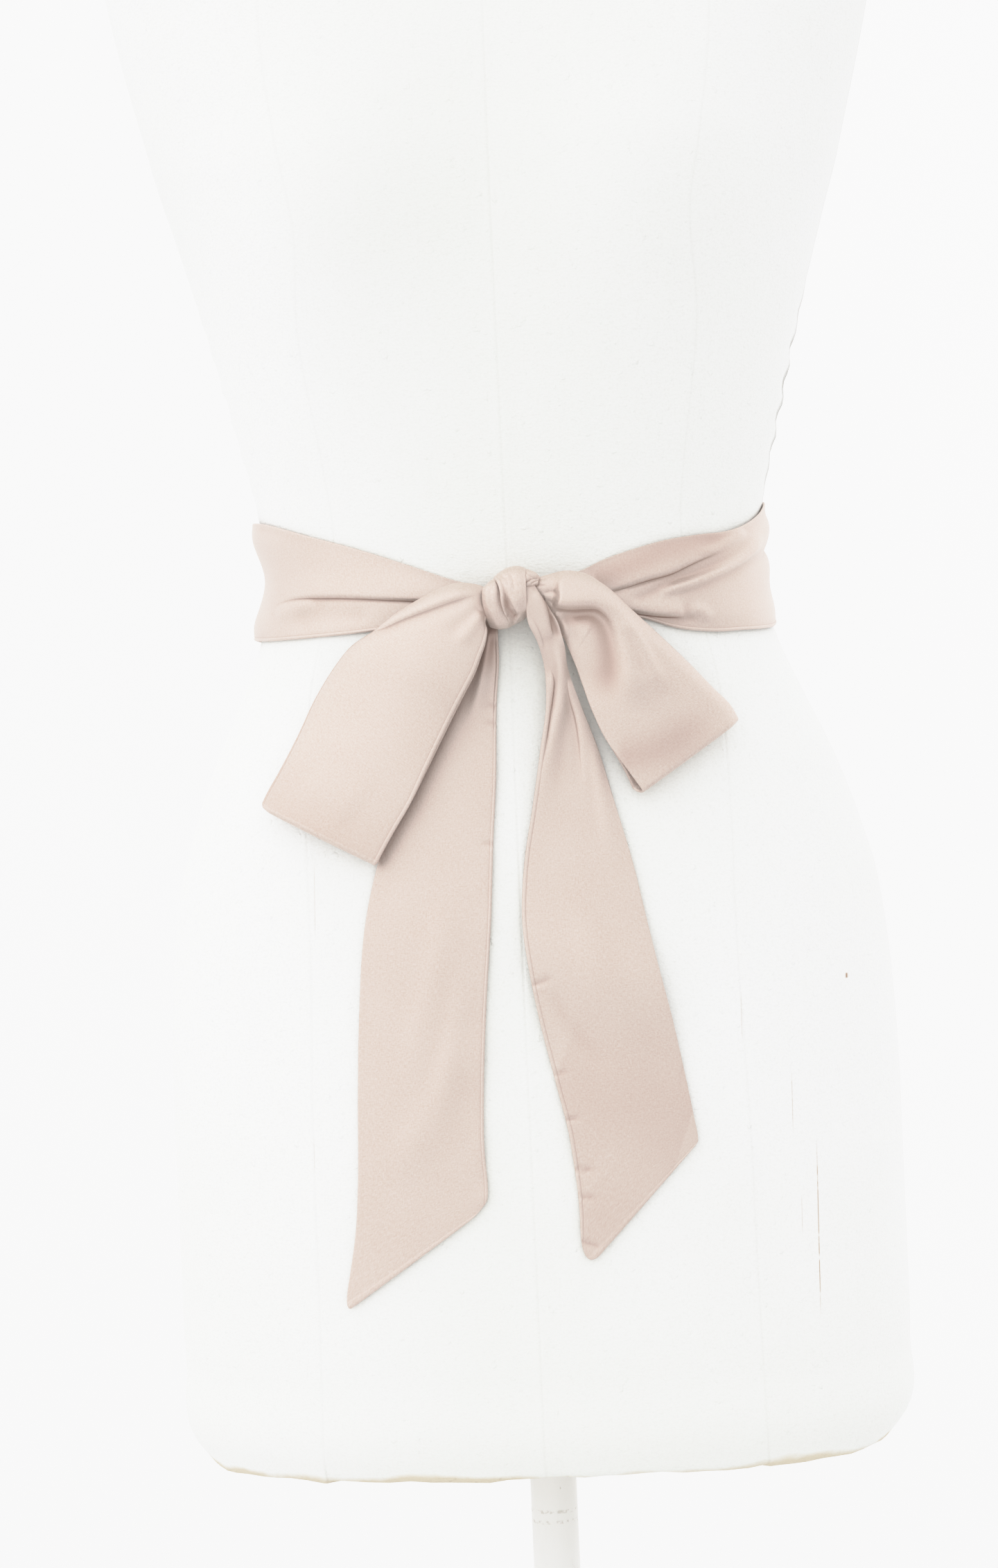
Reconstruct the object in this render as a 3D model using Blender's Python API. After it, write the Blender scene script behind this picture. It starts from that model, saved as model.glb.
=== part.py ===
"""Satin sash tied in a bow round the waist of a limbless dress form on a pole stand.

Metres, +Z up, the front faces -Y, and the origin is on the floor under the pole.
Tables are in millimetres. The sash is one strip of doubled satin, and each stretch of
it that shows is a wall of its own: the wrap round the waist, three turns of the knot,
two bow loops and two tails.
"""

import math
from collections import namedtuple

import bmesh
import bpy
import numpy as np

MM = 0.001
GAP = 0.3 * MM

# Heights of the stand and the form
WAIST_HEIGHT = 1.030
FORM_BOTTOM = WAIST_HEIGHT - 0.411
BASE_RADIUS = 0.200
POLE_RADIUS = 0.011
SOCKET_DEPTH = 0.060

# The cut of the sash
SATIN_WALL = 1.2 * MM
STRIP_WIDTH = 60 * MM

# The knot's height on the form
KNOT_Z = 1.014

# How finely the surfaces are divided
FORM_SIDES = 36
ROUND_SIDES = 32

# Dress form

FormRow = namedtuple("FormRow", "height half_width front back squareness")

# Sections of the form, by height above the waist. front and back are measured from the
# pole's axis, and squareness is the exponent of the rounded outline.
FORM_ROWS = [
    FormRow(-411, 160, 104, 104, 2.3),
    FormRow(-401, 168, 111, 110, 2.3),
    FormRow(-366, 171, 114, 113, 2.3),
    FormRow(-322, 171.5, 115, 114, 2.3),
    FormRow(-277, 171.5, 116, 115, 2.3),
    FormRow(-240, 171.5, 116, 116, 2.3),
    FormRow(-195, 170, 115, 116, 2.3),
    FormRow(-166, 167.5, 114, 115, 2.3),
    FormRow(-143, 164, 112, 113, 2.3),
    FormRow(-125, 159, 110, 110, 2.3),
    FormRow(-106, 153, 108, 106, 2.25),
    FormRow(-84, 144.5, 105, 100, 2.25),
    FormRow(-61, 134, 102, 93, 2.2),
    FormRow(-35, 123, 99, 86, 2.2),
    FormRow(0, 116, 97, 81, 2.2),
    FormRow(35, 120, 99, 83, 2.2),
    FormRow(65, 127, 102, 87, 2.25),
    FormRow(102, 136, 105, 93, 2.3),
    FormRow(147, 148, 106, 100, 2.4),
    FormRow(168, 154, 106, 103, 2.45),
    FormRow(188, 160, 105, 105, 2.5),
    FormRow(210, 165.5, 102, 107, 2.5),
    FormRow(232, 171, 99, 108, 2.5),
    FormRow(273, 180, 90, 107, 2.5),
    FormRow(310, 185, 79, 101, 2.5),
    FormRow(335, 183, 70, 93, 2.5),
    FormRow(352, 172, 63, 84, 2.4),
    FormRow(368, 142, 59, 75, 2.3),
    FormRow(384, 105, 60, 68, 2.2),
    FormRow(400, 74, 62, 60, 2.1),
    FormRow(416, 60, 62, 53, 2.0),
    FormRow(438, 55, 62, 47, 2.0),
    FormRow(456, 54, 62, 44, 2.0),
    FormRow(463, 51, 59, 41, 2.0),
    FormRow(466, 44, 52, 34, 2.0),
]

# The bust is one soft rise on each side: where it is, how wide and tall, how far it stands
BUST_X = 80 * MM
BUST_Z = WAIST_HEIGHT + 172 * MM
BUST_SPREAD_X = 52 * MM
BUST_SPREAD_Z = 60 * MM
BUST_RISE = 20 * MM


def smooth(keys, values, at):
    """Cubic curve through a table's rows, with each row's slope taken from its neighbours."""
    keys, values, at = np.asarray(keys, float), np.asarray(values, float), np.asarray(at, float)
    step = np.diff(keys)
    rise = np.diff(values, axis=0) / step[:, None]
    slope = np.empty_like(values)
    slope[0], slope[-1] = rise[0], rise[-1]
    before, after = step[:-1, None], step[1:, None]
    slope[1:-1] = (rise[:-1] * after + rise[1:] * before) / (before + after)
    i = np.clip(np.searchsorted(keys, at, side="right") - 1, 0, len(step) - 1)
    t = ((at - keys[i]) / step[i])[:, None]
    h = step[i][:, None]
    start = (1 + 2 * t) * (1 - t) ** 2 * values[i] + t * (1 - t) ** 2 * h * slope[i]
    end = t**2 * (3 - 2 * t) * values[i + 1] + t**2 * (t - 1) * h * slope[i + 1]
    return start + end


def form_section(z):
    """Half width, front and back depth and squareness of the form at heights z."""
    z = np.asarray(z, float)
    heights = [row.height * MM + WAIST_HEIGHT for row in FORM_ROWS]
    sizes = [(row.half_width * MM, row.front * MM, row.back * MM, row.squareness) for row in FORM_ROWS]
    found = smooth(heights, sizes, z.ravel())
    return [column.reshape(z.shape) for column in found.T]


def bust_rise(x, z):
    """How far the bust stands out in front of the plain sections."""
    across = (np.abs(x) - BUST_X) / BUST_SPREAD_X
    up = (z - BUST_Z) / BUST_SPREAD_Z
    return BUST_RISE * np.exp(-(across**2) - up**2)


def form_point(angle, z, out=0.0):
    """Point on the form at an angle from the front towards +X, moved out by out."""
    half_width, front, back, squareness = form_section(z)
    power = 2 / squareness
    side, forward = np.sin(angle), np.cos(angle)
    x = (half_width + out) * np.sign(side) * np.abs(side) ** power
    depth = np.where(forward > 0, front, back) + out
    y = -depth * np.sign(forward) * np.abs(forward) ** power
    y = y - np.where(forward > 0, bust_rise(x, z) * np.clip(forward, 0, 1), 0)
    return np.stack([x, y, z + 0 * x], axis=-1)


def form_front(x, z):
    """The form's front surface, as y at x across and height z."""
    half_width, front, _, squareness = form_section(z)
    inside = 1 - np.clip(np.abs(x) / half_width, 0, 0.98) ** squareness
    return -front * inside ** (1 / squareness)


# Meshes


def add_mesh(name, points, faces, material):
    """One closed mesh object with its faces pointing out, shaded smooth over soft edges."""
    mesh = bpy.data.meshes.new(name)
    mesh.from_pydata([tuple(p) for p in points], [], faces)
    working = bmesh.new()
    working.from_mesh(mesh)
    bmesh.ops.recalc_face_normals(working, faces=working.faces)
    working.to_mesh(mesh)
    working.free()
    mesh.shade_smooth()
    mesh.set_sharp_from_angle(angle=math.radians(40))
    mesh.materials.append(material)
    thing = bpy.data.objects.new(name, mesh)
    bpy.context.scene.collection.objects.link(thing)
    return thing


def rings_mesh(name, rings, material):
    """Closed body through rings of equal point counts, with a flat cap on each end."""
    count = len(rings[0])
    points = np.concatenate(rings)
    faces = []
    for level in range(len(rings) - 1):
        for k in range(count):
            low, high = level * count, (level + 1) * count
            faces.append((low + k, low + (k + 1) % count, high + (k + 1) % count, high + k))
    faces.append(tuple(range(count)))
    faces.append(tuple(range(len(points) - count, len(points))))
    return add_mesh(name, points, faces, material)


def circle(radius, z, sides):
    """Ring of points round the pole's axis, the first at the front."""
    angle = np.linspace(0, 2 * math.pi, sides, endpoint=False)
    return np.stack([radius * np.sin(angle), -radius * np.cos(angle), np.full(sides, z)], axis=1)


def turned(name, profile, material):
    """Body turned about the pole's axis from (radius, height) pairs."""
    rings = [circle(radius, z, ROUND_SIDES) for radius, z in profile]
    return rings_mesh(name, rings, material)


def wall_normals(grid, closed):
    """Unit normals of a grid of points. closed means that its rows join into a ring."""
    if closed:
        along = np.roll(grid, -1, axis=0) - np.roll(grid, 1, axis=0)
    else:
        along = np.gradient(grid, axis=0)
    normals = np.cross(along, np.gradient(grid, axis=1))
    return normals / np.linalg.norm(normals, axis=2, keepdims=True)


def wall_mesh(name, grid, material, closed=False):
    """Cloth wall: the grid is its middle surface, and both faces lie half a wall from it."""
    rows, columns = grid.shape[:2]
    offset = wall_normals(grid, closed) * SATIN_WALL / 2
    points = np.concatenate([(grid + offset).reshape(-1, 3), (grid - offset).reshape(-1, 3)])
    back = rows * columns
    faces = []
    for i in range(rows if closed else rows - 1):
        low, high = i * columns, (i + 1) % rows * columns
        for j in range(columns - 1):
            quad = (low + j, low + j + 1, high + j + 1, high + j)
            faces += [quad, tuple(back + k for k in reversed(quad))]
        for j in (0, columns - 1):
            faces.append((low + j, high + j, back + high + j, back + low + j))
    if not closed:
        for row in (0, rows - 1):
            for j in range(columns - 1):
                k = row * columns + j
                faces.append((k, k + 1, back + k + 1, back + k))
    return add_mesh(name, points, faces, material)


def paint(name, colour, roughness, metallic=0.0, sheen=0.0):
    """Principled material of one colour."""
    material = bpy.data.materials.new(name)
    material.use_nodes = True
    shader = material.node_tree.nodes["Principled BSDF"]
    shader.inputs["Base Color"].default_value = (*colour, 1)
    shader.inputs["Roughness"].default_value = roughness
    shader.inputs["Metallic"].default_value = metallic
    shader.inputs["Sheen Weight"].default_value = sheen
    material.diffuse_color = (*colour, 1)
    return material


# Strips of satin that lie in front of the form

Row = namedtuple("Row", "ax az bx bz lift_a lift_b crown")
Fold = namedtuple("Fold", "kind start end at_start at_middle at_end height width")


def fold_lift(folds, along, across):
    """How far the folds raise the cloth at a share of its length and of its width.

    A ridge is a soft hill along its line. A step stays high before its line, on the side
    of edge A, and drops to nothing past it. Both fade in and out over their length.
    """
    lift = np.zeros(np.broadcast(along, across).shape)
    for fold in folds:
        share = np.clip((along - fold.start) / (fold.end - fold.start), 0, 1)
        left, middle, right = (1 - share) ** 2, 2 * share * (1 - share), share**2
        line = left * fold.at_start + middle * fold.at_middle + right * fold.at_end
        fade = np.sin(math.pi * share) ** 0.7
        away = (across - line) / fold.width
        if fold.kind == "ridge":
            shape = np.exp(-(away**2))
        else:
            shape = 0.5 - 0.5 * np.tanh(away)
        lift = lift + fold.height * MM * fade * shape
    return lift


def strip_grid(rows, folds, steps, columns):
    """Middle surface of a stretch in front of the form, from its rows of two edges.

    Edges are in millimetres right of the form's middle and above the knot, lifts are from
    the form's surface, and crown is the extra lift of the middle.
    """
    table = np.array(rows, float) * MM
    middle = (table[:, 0:2] + table[:, 2:4]) / 2
    length = np.concatenate([[0], np.cumsum(np.linalg.norm(np.diff(middle, axis=0), axis=1))])
    along = np.linspace(0, 1, steps)
    ax, az, bx, bz, lift_a, lift_b, crown = smooth(length / length[-1], table, along).T[:, :, None]
    across = np.linspace(0, 1, columns)[None, :]
    x = ax + (bx - ax) * across
    z = KNOT_Z + az + (bz - az) * across
    lift = lift_a + (lift_b - lift_a) * across + crown * 4 * across * (1 - across)
    lift = lift + fold_lift(folds, along[:, None], across)
    return np.stack([x, form_front(x, z) - lift, z], axis=-1)


# Tails: edge A is on the left as seen from the front, and edge B on the right

LEFT_TAIL = [
    Row(-12, -10.5, -5, -11, 3.4, 3.6, 0.3),
    Row(-16, -20, -5.2, -17, 3.6, 4.2, 0.6),
    Row(-24, -34, -5.2, -27, 2.8, 3.2, 0.8),
    Row(-37, -56, -7.1, -47, 2.0, 2.2, 0.5),
    Row(-52, -84, -8.7, -81, 1.8, 1.8, 0.4),
    Row(-62, -112, -11, -108, 1.8, 1.8, 0.4),
    Row(-70, -143, -13.4, -143, 1.8, 1.8, 0.5),
    Row(-74.4, -183, -17.4, -184, 1.8, 1.8, 0.6),
    Row(-76.6, -220, -19.9, -219, 1.8, 1.8, 0.5),
    Row(-78.4, -260, -20.7, -246, 1.8, 1.8, 0.4),
    Row(-80.4, -281, -20.0, -261, 1.8, 1.8, 0.3),
    Row(-86.4, -312, -21.5, -270, 1.8, 1.8, 0.2),
]
LEFT_TAIL_FOLDS = [
    Fold("ridge", 0.02, 0.26, 0.45, 0.50, 0.60, 1.2, 0.14),
    Fold("ridge", 0.42, 0.95, 0.75, 0.45, 0.25, 1.2, 0.12),
]

RIGHT_TAIL = [
    Row(8.9, 4, 12.3, 4, 17.2, 17.0, 0.0),
    Row(8.4, -3, 17, -4, 18.0, 16.4, 0.6),
    Row(8.6, -11, 21.4, -11, 16.2, 14.6, 1.0),
    Row(12.4, -20, 24, -21, 12.8, 12.0, 1.2),
    Row(15.0, -31, 25, -32, 9.2, 8.4, 1.2),
    Row(15.0, -49, 30, -48, 6.0, 4.6, 0.5),
    Row(11.4, -70, 37.2, -69, 4.2, 2.2, 0.0),
    Row(7.0, -94, 43.8, -94, 3.2, 1.8, 0.0),
    Row(2.3, -119, 50.5, -120, 2.6, 1.8, 0.2),
    Row(0.4, -145, 55.7, -146, 2.2, 1.8, 0.4),
    Row(2.6, -167, 59.8, -166, 1.8, 1.8, 0.6),
    Row(6.4, -190, 64.6, -188, 1.8, 1.8, 0.6),
    Row(12.4, -218, 69.2, -213, 1.8, 1.8, 0.5),
    Row(17.8, -246, 73.0, -236, 1.8, 1.8, 0.4),
    Row(20.6, -273, 74.0, -242, 1.8, 1.8, 0.3),
    Row(20.2, -298, 74.2, -246, 1.8, 1.8, 0.2),
]
RIGHT_TAIL_FOLDS = [
    Fold("ridge", 0.02, 0.22, 0.50, 0.58, 0.72, 1.2, 0.17),
    Fold("ridge", 0.10, 0.50, 0.30, 0.28, 0.07, 3.0, 0.16),
    Fold("ridge", 0.14, 0.42, 0.85, 0.80, 0.66, 1.6, 0.12),
]
TAIL_STEPS = 26
TAIL_COLUMNS = 9

# Bow loops: edge A is the upper, outer edge, and edge B the lower, inner one. The rows
# run from the knot to the fold at the loop's far end, down its front layer.

LoopShape = namedtuple("LoopShape", "throat_gap belly_gap fold_gap shift_x shift_z")

# shift is how far the back layer has slid from behind the front one at the fold
LEFT_LOOP = [
    Row(-9.9, 3.6, -9.9, -7.5, 13.2, 13.5, 0.7),
    Row(-12.4, 5.8, -12.6, -10, 12.6, 13.8, 1.2),
    Row(-20, 7.3, -12.4, -14.5, 12.6, 15.0, 3.0),
    Row(-30.6, 5.2, -12.2, -20, 13.0, 16.0, 3.5),
    Row(-40, 0.9, -13.2, -26, 13.0, 16.0, 4.0),
    Row(-50, -4.4, -16.4, -33.5, 13.0, 15.5, 4.5),
    Row(-61, -12.0, -21.6, -42.5, 13.0, 14.5, 4.5),
    Row(-71.5, -18.3, -27.6, -53, 13.0, 13.8, 4.0),
    Row(-79, -26.5, -33.5, -64, 12.6, 13.0, 3.0),
    Row(-88.8, -41, -40.0, -76.5, 12.6, 12.0, 2.0),
    Row(-98.1, -59.2, -47.0, -90, 13.0, 11.2, 1.4),
    Row(-106.6, -74, -55.0, -102.5, 13.0, 10.4, 1.0),
    Row(-112.8, -84, -60.5, -111.5, 13.0, 9.8, 0.6),
    Row(-114.6, -87.4, -62.4, -114.9, 13.0, 9.6, 0.4),
]
LEFT_LOOP_FOLDS = [
    Fold("ridge", 0.02, 0.45, 0.45, 0.62, 0.80, 1.2, 0.20),
]
LEFT_LOOP_SHAPE = LoopShape(3.6, 6.6, 4.4, -1.2, 0.8)

RIGHT_LOOP = [
    Row(14.6, 7.6, 15.0, -4, 11.5, 11.5, 1.5),
    Row(18.6, 9.2, 17.2, -8, 12.5, 11.0, 2.5),
    Row(25.7, 10.6, 20, -12, 13.0, 10.5, 3.5),
    Row(34.4, 9.3, 22.4, -16, 13.0, 10.2, 4.0),
    Row(41.2, 5.2, 24.8, -20.5, 13.0, 10.0, 4.0),
    Row(47, 0.5, 26.8, -26, 13.0, 9.8, 4.0),
    Row(54.6, -7.4, 29.0, -32, 13.0, 9.8, 4.0),
    Row(65, -17.6, 31.4, -40, 13.0, 9.6, 4.0),
    Row(78.6, -31.4, 35.6, -53, 13.0, 9.6, 3.5),
    Row(90.4, -44.4, 41.6, -66.5, 13.0, 9.4, 2.2),
    Row(97.8, -52.4, 50.6, -80.2, 13.0, 9.0, 1.0),
    Row(100.7, -58.0, 55.8, -88.0, 13.0, 8.8, 0.5),
]
RIGHT_LOOP_FOLDS = [
    Fold("step", 0.06, 0.80, 0.72, 0.36, 0.78, 4.0, 0.13),
]
RIGHT_LOOP_SHAPE = LoopShape(3.6, 6.4, 4.2, -3.2, 0.0)
LOOP_STEPS = 22
LOOP_BACK_STEPS = 12
LOOP_TURN_STEPS = 5
LOOP_COLUMNS = 9


def loop_gap(shape, along):
    """Gap between the loop's two layers: narrow at the knot, widest at the belly."""
    keys = [0.0, 0.45, 0.85, 1.0]
    gaps = [[shape.throat_gap], [shape.belly_gap], [shape.fold_gap + 0.6], [shape.fold_gap]]
    return smooth(keys, gaps, along)[:, 0] * MM


def loop_grid(rows, folds, shape):
    """Middle surface of a loop: out along its front layer, round the fold and back."""
    front = strip_grid(rows, folds, LOOP_STEPS, LOOP_COLUMNS)
    behind = strip_grid(rows, [], LOOP_BACK_STEPS, LOOP_COLUMNS)
    crown_free = [row._replace(crown=0) for row in rows]
    flat = strip_grid(crown_free, [], LOOP_BACK_STEPS, LOOP_COLUMNS)
    behind = 0.4 * behind + 0.6 * flat
    along = np.linspace(0, 1, LOOP_BACK_STEPS)
    gap = loop_gap(shape, along)
    shift = np.array([shape.shift_x, 0, shape.shift_z]) * MM
    behind += shift * (along**3)[:, None, None]
    behind[:, :, 1] += gap[:, None]
    onward = front[-1] - front[-2]
    onward[:, 1] = 0
    onward /= np.linalg.norm(onward, axis=1, keepdims=True)
    radius = (behind[-1, :, 1] - front[-1, :, 1]) / 2
    turn = []
    for angle in np.linspace(0, math.pi, LOOP_TURN_STEPS + 2)[1:-1]:
        ring = front[-1] + onward * (radius * math.sin(angle))[:, None]
        ring += shift * (1 - math.cos(angle)) / 2
        ring[:, 1] += radius * (1 - math.cos(angle))
        turn.append(ring)
    return np.concatenate([front, turn, behind[::-1]])


# Wrap round the waist, from the knot's right side round the back to its left side

WrapRow = namedtuple("WrapRow", "angle top bottom lift")

# Angles are degrees from the front towards +X, top and bottom are above the waist
WAIST_WRAP = [
    WrapRow(4.9, -9, -25, 2.4),
    WrapRow(9, -7.4, -25, 2.8),
    WrapRow(14.5, -4.6, -25, 3.2),
    WrapRow(19, -0.6, -25.5, 3.2),
    WrapRow(26.5, 4.0, -27, 3.2),
    WrapRow(35, 7.9, -32.0, 3.4),
    WrapRow(45, 10.4, -34, 3.6),
    WrapRow(56, 12.3, -33.4, 3.6),
    WrapRow(66, 16.0, -32.6, 3.6),
    WrapRow(77, 21.5, -31.2, 3.4),
    WrapRow(90, 28.6, -28, 3.2),
    WrapRow(115, 29, -29, 2.0),
    WrapRow(150, 30, -29, 1.8),
    WrapRow(180, 30, -29, 1.8),
    WrapRow(210, 30, -29, 1.8),
    WrapRow(245, 29.5, -28, 2.0),
    WrapRow(270, 29.8, -26, 3.4),
    WrapRow(292, 26, -28, 2.4),
    WrapRow(313, 17.4, -28.6, 1.8),
    WrapRow(328, 9.4, -28, 1.8),
    WrapRow(340, 1.2, -26.4, 1.8),
    WrapRow(350, -6.6, -25, 1.8),
    WrapRow(354.7, -9.6, -24.4, 2.0),
]
# across runs from the top edge, 0, to the bottom edge, 1
WAIST_FOLDS = [
    Fold("step", 0.83, 1.05, 0.62, 0.62, 0.64, 2.0, 0.05),
    Fold("step", -0.06, 0.20, 0.62, 0.36, 0.20, -1.8, 0.05),
    Fold("ridge", 0.07, 0.30, 0.78, 0.66, 0.45, 1.6, 0.10),
    Fold("ridge", 0.26, 0.60, 0.62, 0.55, 0.70, 1.3, 0.14),
    Fold("ridge", 0.48, 0.80, 0.35, 0.30, 0.45, 1.3, 0.12),
]
WAIST_STEPS = 80
WAIST_COLUMNS = 8


def waist_grid():
    """Middle surface of the wrap, taken from the form's own sections, moved out."""
    table = np.array(WAIST_WRAP, float)
    angle = np.linspace(table[0, 0], table[-1, 0], WAIST_STEPS)
    top, bottom, lift = smooth(table[:, 0], table[:, 1:] * MM, angle).T[:, :, None]
    along = np.linspace(0, 1, WAIST_STEPS)[:, None]
    across = np.linspace(0, 1, WAIST_COLUMNS)[None, :]
    z = WAIST_HEIGHT + top + (bottom - top) * across
    out = lift + fold_lift(WAIST_FOLDS, along, across)
    turn = np.radians(angle)[:, None] + 0 * across
    return form_point(turn, z, out)


# Knot: rings of cloth wound over a rounded core that stands for the layers inside

KnotTurn = namedtuple("KnotTurn", "up rise depth shoulder")

# up is the ring's centre above the knot, rise and depth its half height and half depth,
# and shoulder the share by which it shrinks at its two edges
KNOT_CENTRE_LIFT = 11.0 * MM
LEFT_TURN = KnotTurn(-2.4, 10.9, 7.8, 0.16)
FRONT_TURN = KnotTurn(0.9, 11.2, 9.3, 0.07)
TUCK_TURN = KnotTurn(6.3, 4.5, 4.4, 0.10)
CORE_HALF = (8.4 * MM, 5.6 * MM, 7.6 * MM)
TURN_STEPS = 24
TURN_COLUMNS = 6


def front_turn_left(angle):
    """Left edge of the front turn: it slants from the top left to the bottom right."""
    return (-2.3 - 3.6 * np.cos(angle)) * MM


def front_turn_right(angle):
    """Right edge of the front turn, furthest out at its middle."""
    return (8.0 - 0.8 * np.abs(np.cos(angle)) ** 2) * MM


def left_turn_left(angle):
    """Left edge of the left turn, furthest out at its middle."""
    return (-11.6 + 3.2 * np.abs(np.cos(angle)) ** 2) * MM


def tuck_right(angle):
    """Right edge of the tucked turn at the knot's top right."""
    return 13.6 * MM + 0 * angle


def knot_grid(shape, left_edge, right_edge):
    """Middle surface of one turn of the knot. Angle 0 is its top and 90 degrees its front."""
    angle = np.linspace(0, 2 * math.pi, TURN_STEPS, endpoint=False)[:, None]
    across = np.linspace(0, 1, TURN_COLUMNS)[None, :]
    x = left_edge(angle) + (right_edge(angle) - left_edge(angle)) * across
    full = 1 - shape.shoulder * (2 * across - 1) ** 4
    z = shape.up * MM + shape.rise * MM * full * np.cos(angle)
    out = KNOT_CENTRE_LIFT + shape.depth * MM * full * np.sin(angle)
    surface = form_front(0.0, np.array(KNOT_Z))
    return np.stack([x, surface - out, KNOT_Z + z], axis=-1)


def knot_core(material):
    """Rounded core inside the turns: a stretched ball."""
    working = bmesh.new()
    bmesh.ops.create_uvsphere(working, u_segments=16, v_segments=10, radius=1.0)
    surface = float(form_front(0.0, np.array(KNOT_Z)))
    centre = (-0.8 * MM, surface - KNOT_CENTRE_LIFT, KNOT_Z - 0.8 * MM)
    for vertex in working.verts:
        vertex.co = [middle + half * k for middle, half, k in zip(centre, CORE_HALF, vertex.co)]
    mesh = bpy.data.meshes.new("knot_core")
    working.to_mesh(mesh)
    working.free()
    mesh.shade_smooth()
    mesh.materials.append(material)
    thing = bpy.data.objects.new("knot_core", mesh)
    bpy.context.scene.collection.objects.link(thing)
    return thing


# The object


def build_form(material):
    """Torso through its sections, closed at the neck, with the pole's socket underneath."""
    angle = np.linspace(0, 2 * math.pi, FORM_SIDES, endpoint=False)
    rings = [form_point(angle, WAIST_HEIGHT + row.height * MM + 0 * angle) for row in FORM_ROWS]
    mouth = circle(POLE_RADIUS + GAP, FORM_BOTTOM, FORM_SIDES)
    roof = circle(POLE_RADIUS + GAP, FORM_BOTTOM + SOCKET_DEPTH, FORM_SIDES)
    return rings_mesh("dress_form", [roof, mouth, *rings], material)


def build_stand(material):
    """Round base with a hub, and the pole that stands in it and holds the form."""
    hub = POLE_RADIUS + 11 * MM
    bore = POLE_RADIUS + GAP
    floor_of_bore = 14 * MM
    base_profile = [
        (BASE_RADIUS - 3 * MM, 0.0),
        (BASE_RADIUS, 3 * MM),
        (BASE_RADIUS, 9 * MM),
        (BASE_RADIUS - 4 * MM, 13 * MM),
        (BASE_RADIUS - 40 * MM, 16 * MM),
        (hub + 12 * MM, 22 * MM),
        (hub + 2 * MM, 28 * MM),
        (hub, 34 * MM),
        (hub, 72 * MM),
        (hub - 3 * MM, 75 * MM),
        (bore, 75 * MM),
        (bore, floor_of_bore),
    ]
    turned("stand_base", base_profile, material)
    pole_low, pole_high = floor_of_bore + GAP, FORM_BOTTOM + SOCKET_DEPTH - GAP
    turned("pole", [(POLE_RADIUS, pole_low), (POLE_RADIUS, pole_high)], material)


def build_sash(satin):
    """The stretches of the sash, each a wall of its own."""
    wall_mesh("waist_wrap", waist_grid(), satin)
    knot_core(satin)
    apart = 0.5 * MM
    left = knot_grid(LEFT_TURN, left_turn_left, lambda angle: front_turn_left(angle) - apart)
    wall_mesh("knot_turn_left", left, satin, closed=True)
    front = knot_grid(FRONT_TURN, front_turn_left, front_turn_right)
    wall_mesh("knot_turn_front", front, satin, closed=True)
    tuck = knot_grid(TUCK_TURN, lambda angle: 8.5 * MM + 0 * angle, tuck_right)
    wall_mesh("knot_tuck", tuck, satin, closed=True)
    wall_mesh("loop_left", loop_grid(LEFT_LOOP, LEFT_LOOP_FOLDS, LEFT_LOOP_SHAPE), satin)
    wall_mesh("loop_right", loop_grid(RIGHT_LOOP, RIGHT_LOOP_FOLDS, RIGHT_LOOP_SHAPE), satin)
    for name, rows, folds in (
        ("tail_left", LEFT_TAIL, LEFT_TAIL_FOLDS),
        ("tail_right", RIGHT_TAIL, RIGHT_TAIL_FOLDS),
    ):
        wall_mesh(name, strip_grid(rows, folds, TAIL_STEPS, TAIL_COLUMNS), satin)


def main():
    for old in list(bpy.data.objects):
        bpy.data.objects.remove(old)
    satin = paint("satin", (0.72, 0.56, 0.50), 0.38, sheen=0.3)
    canvas = paint("painted_canvas", (0.84, 0.84, 0.81), 0.85)
    white = paint("white_enamel", (0.85, 0.85, 0.84), 0.40)
    build_form(canvas)
    build_stand(white)
    build_sash(satin)


main()
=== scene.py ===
"""Satin sash tied in a bow round a dress form: the finished look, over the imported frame.

Metres, +Z up, front towards -Y, origin on the floor under the pole. Tables are in
millimetres: x is right of the form's middle and z is above the knot, unless a line says
otherwise.
"""

import math
from collections import namedtuple

import bmesh
import bpy
import numpy as np
from mathutils import Matrix


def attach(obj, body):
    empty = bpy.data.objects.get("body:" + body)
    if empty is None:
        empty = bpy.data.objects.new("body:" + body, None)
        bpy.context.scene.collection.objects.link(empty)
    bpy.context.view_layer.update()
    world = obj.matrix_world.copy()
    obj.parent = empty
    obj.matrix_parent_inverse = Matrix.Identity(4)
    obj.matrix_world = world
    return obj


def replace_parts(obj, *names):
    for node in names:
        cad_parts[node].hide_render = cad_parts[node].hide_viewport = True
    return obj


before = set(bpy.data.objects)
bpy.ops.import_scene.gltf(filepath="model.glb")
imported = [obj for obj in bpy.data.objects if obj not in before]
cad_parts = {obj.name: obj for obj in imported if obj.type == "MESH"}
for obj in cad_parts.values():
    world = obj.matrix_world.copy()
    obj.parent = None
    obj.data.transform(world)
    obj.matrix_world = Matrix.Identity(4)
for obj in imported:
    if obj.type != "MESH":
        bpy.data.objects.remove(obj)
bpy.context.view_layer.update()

# Camera
# A portrait frame from in front, turned two degrees towards the form's right and level
# with its hips. The camera leans a little, so the form's top leans left in the frame.

AIM = np.array([-0.0113, 0.0, 0.931])
EYE_DISTANCE = 1.760
EYE_TURN = math.radians(2.0)
CAMERA_ROLL = math.radians(2.52)
LENS_MM = 85
SENSOR_LONG_SIDE_MM = 36


def placed(right, up, back, place=(0, 0, 0)):
    """Matrix whose columns are an object's three axes and its place."""
    matrix = np.eye(4)
    matrix[:3] = np.column_stack([right, up, back, place])
    return Matrix(matrix.tolist())


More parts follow.
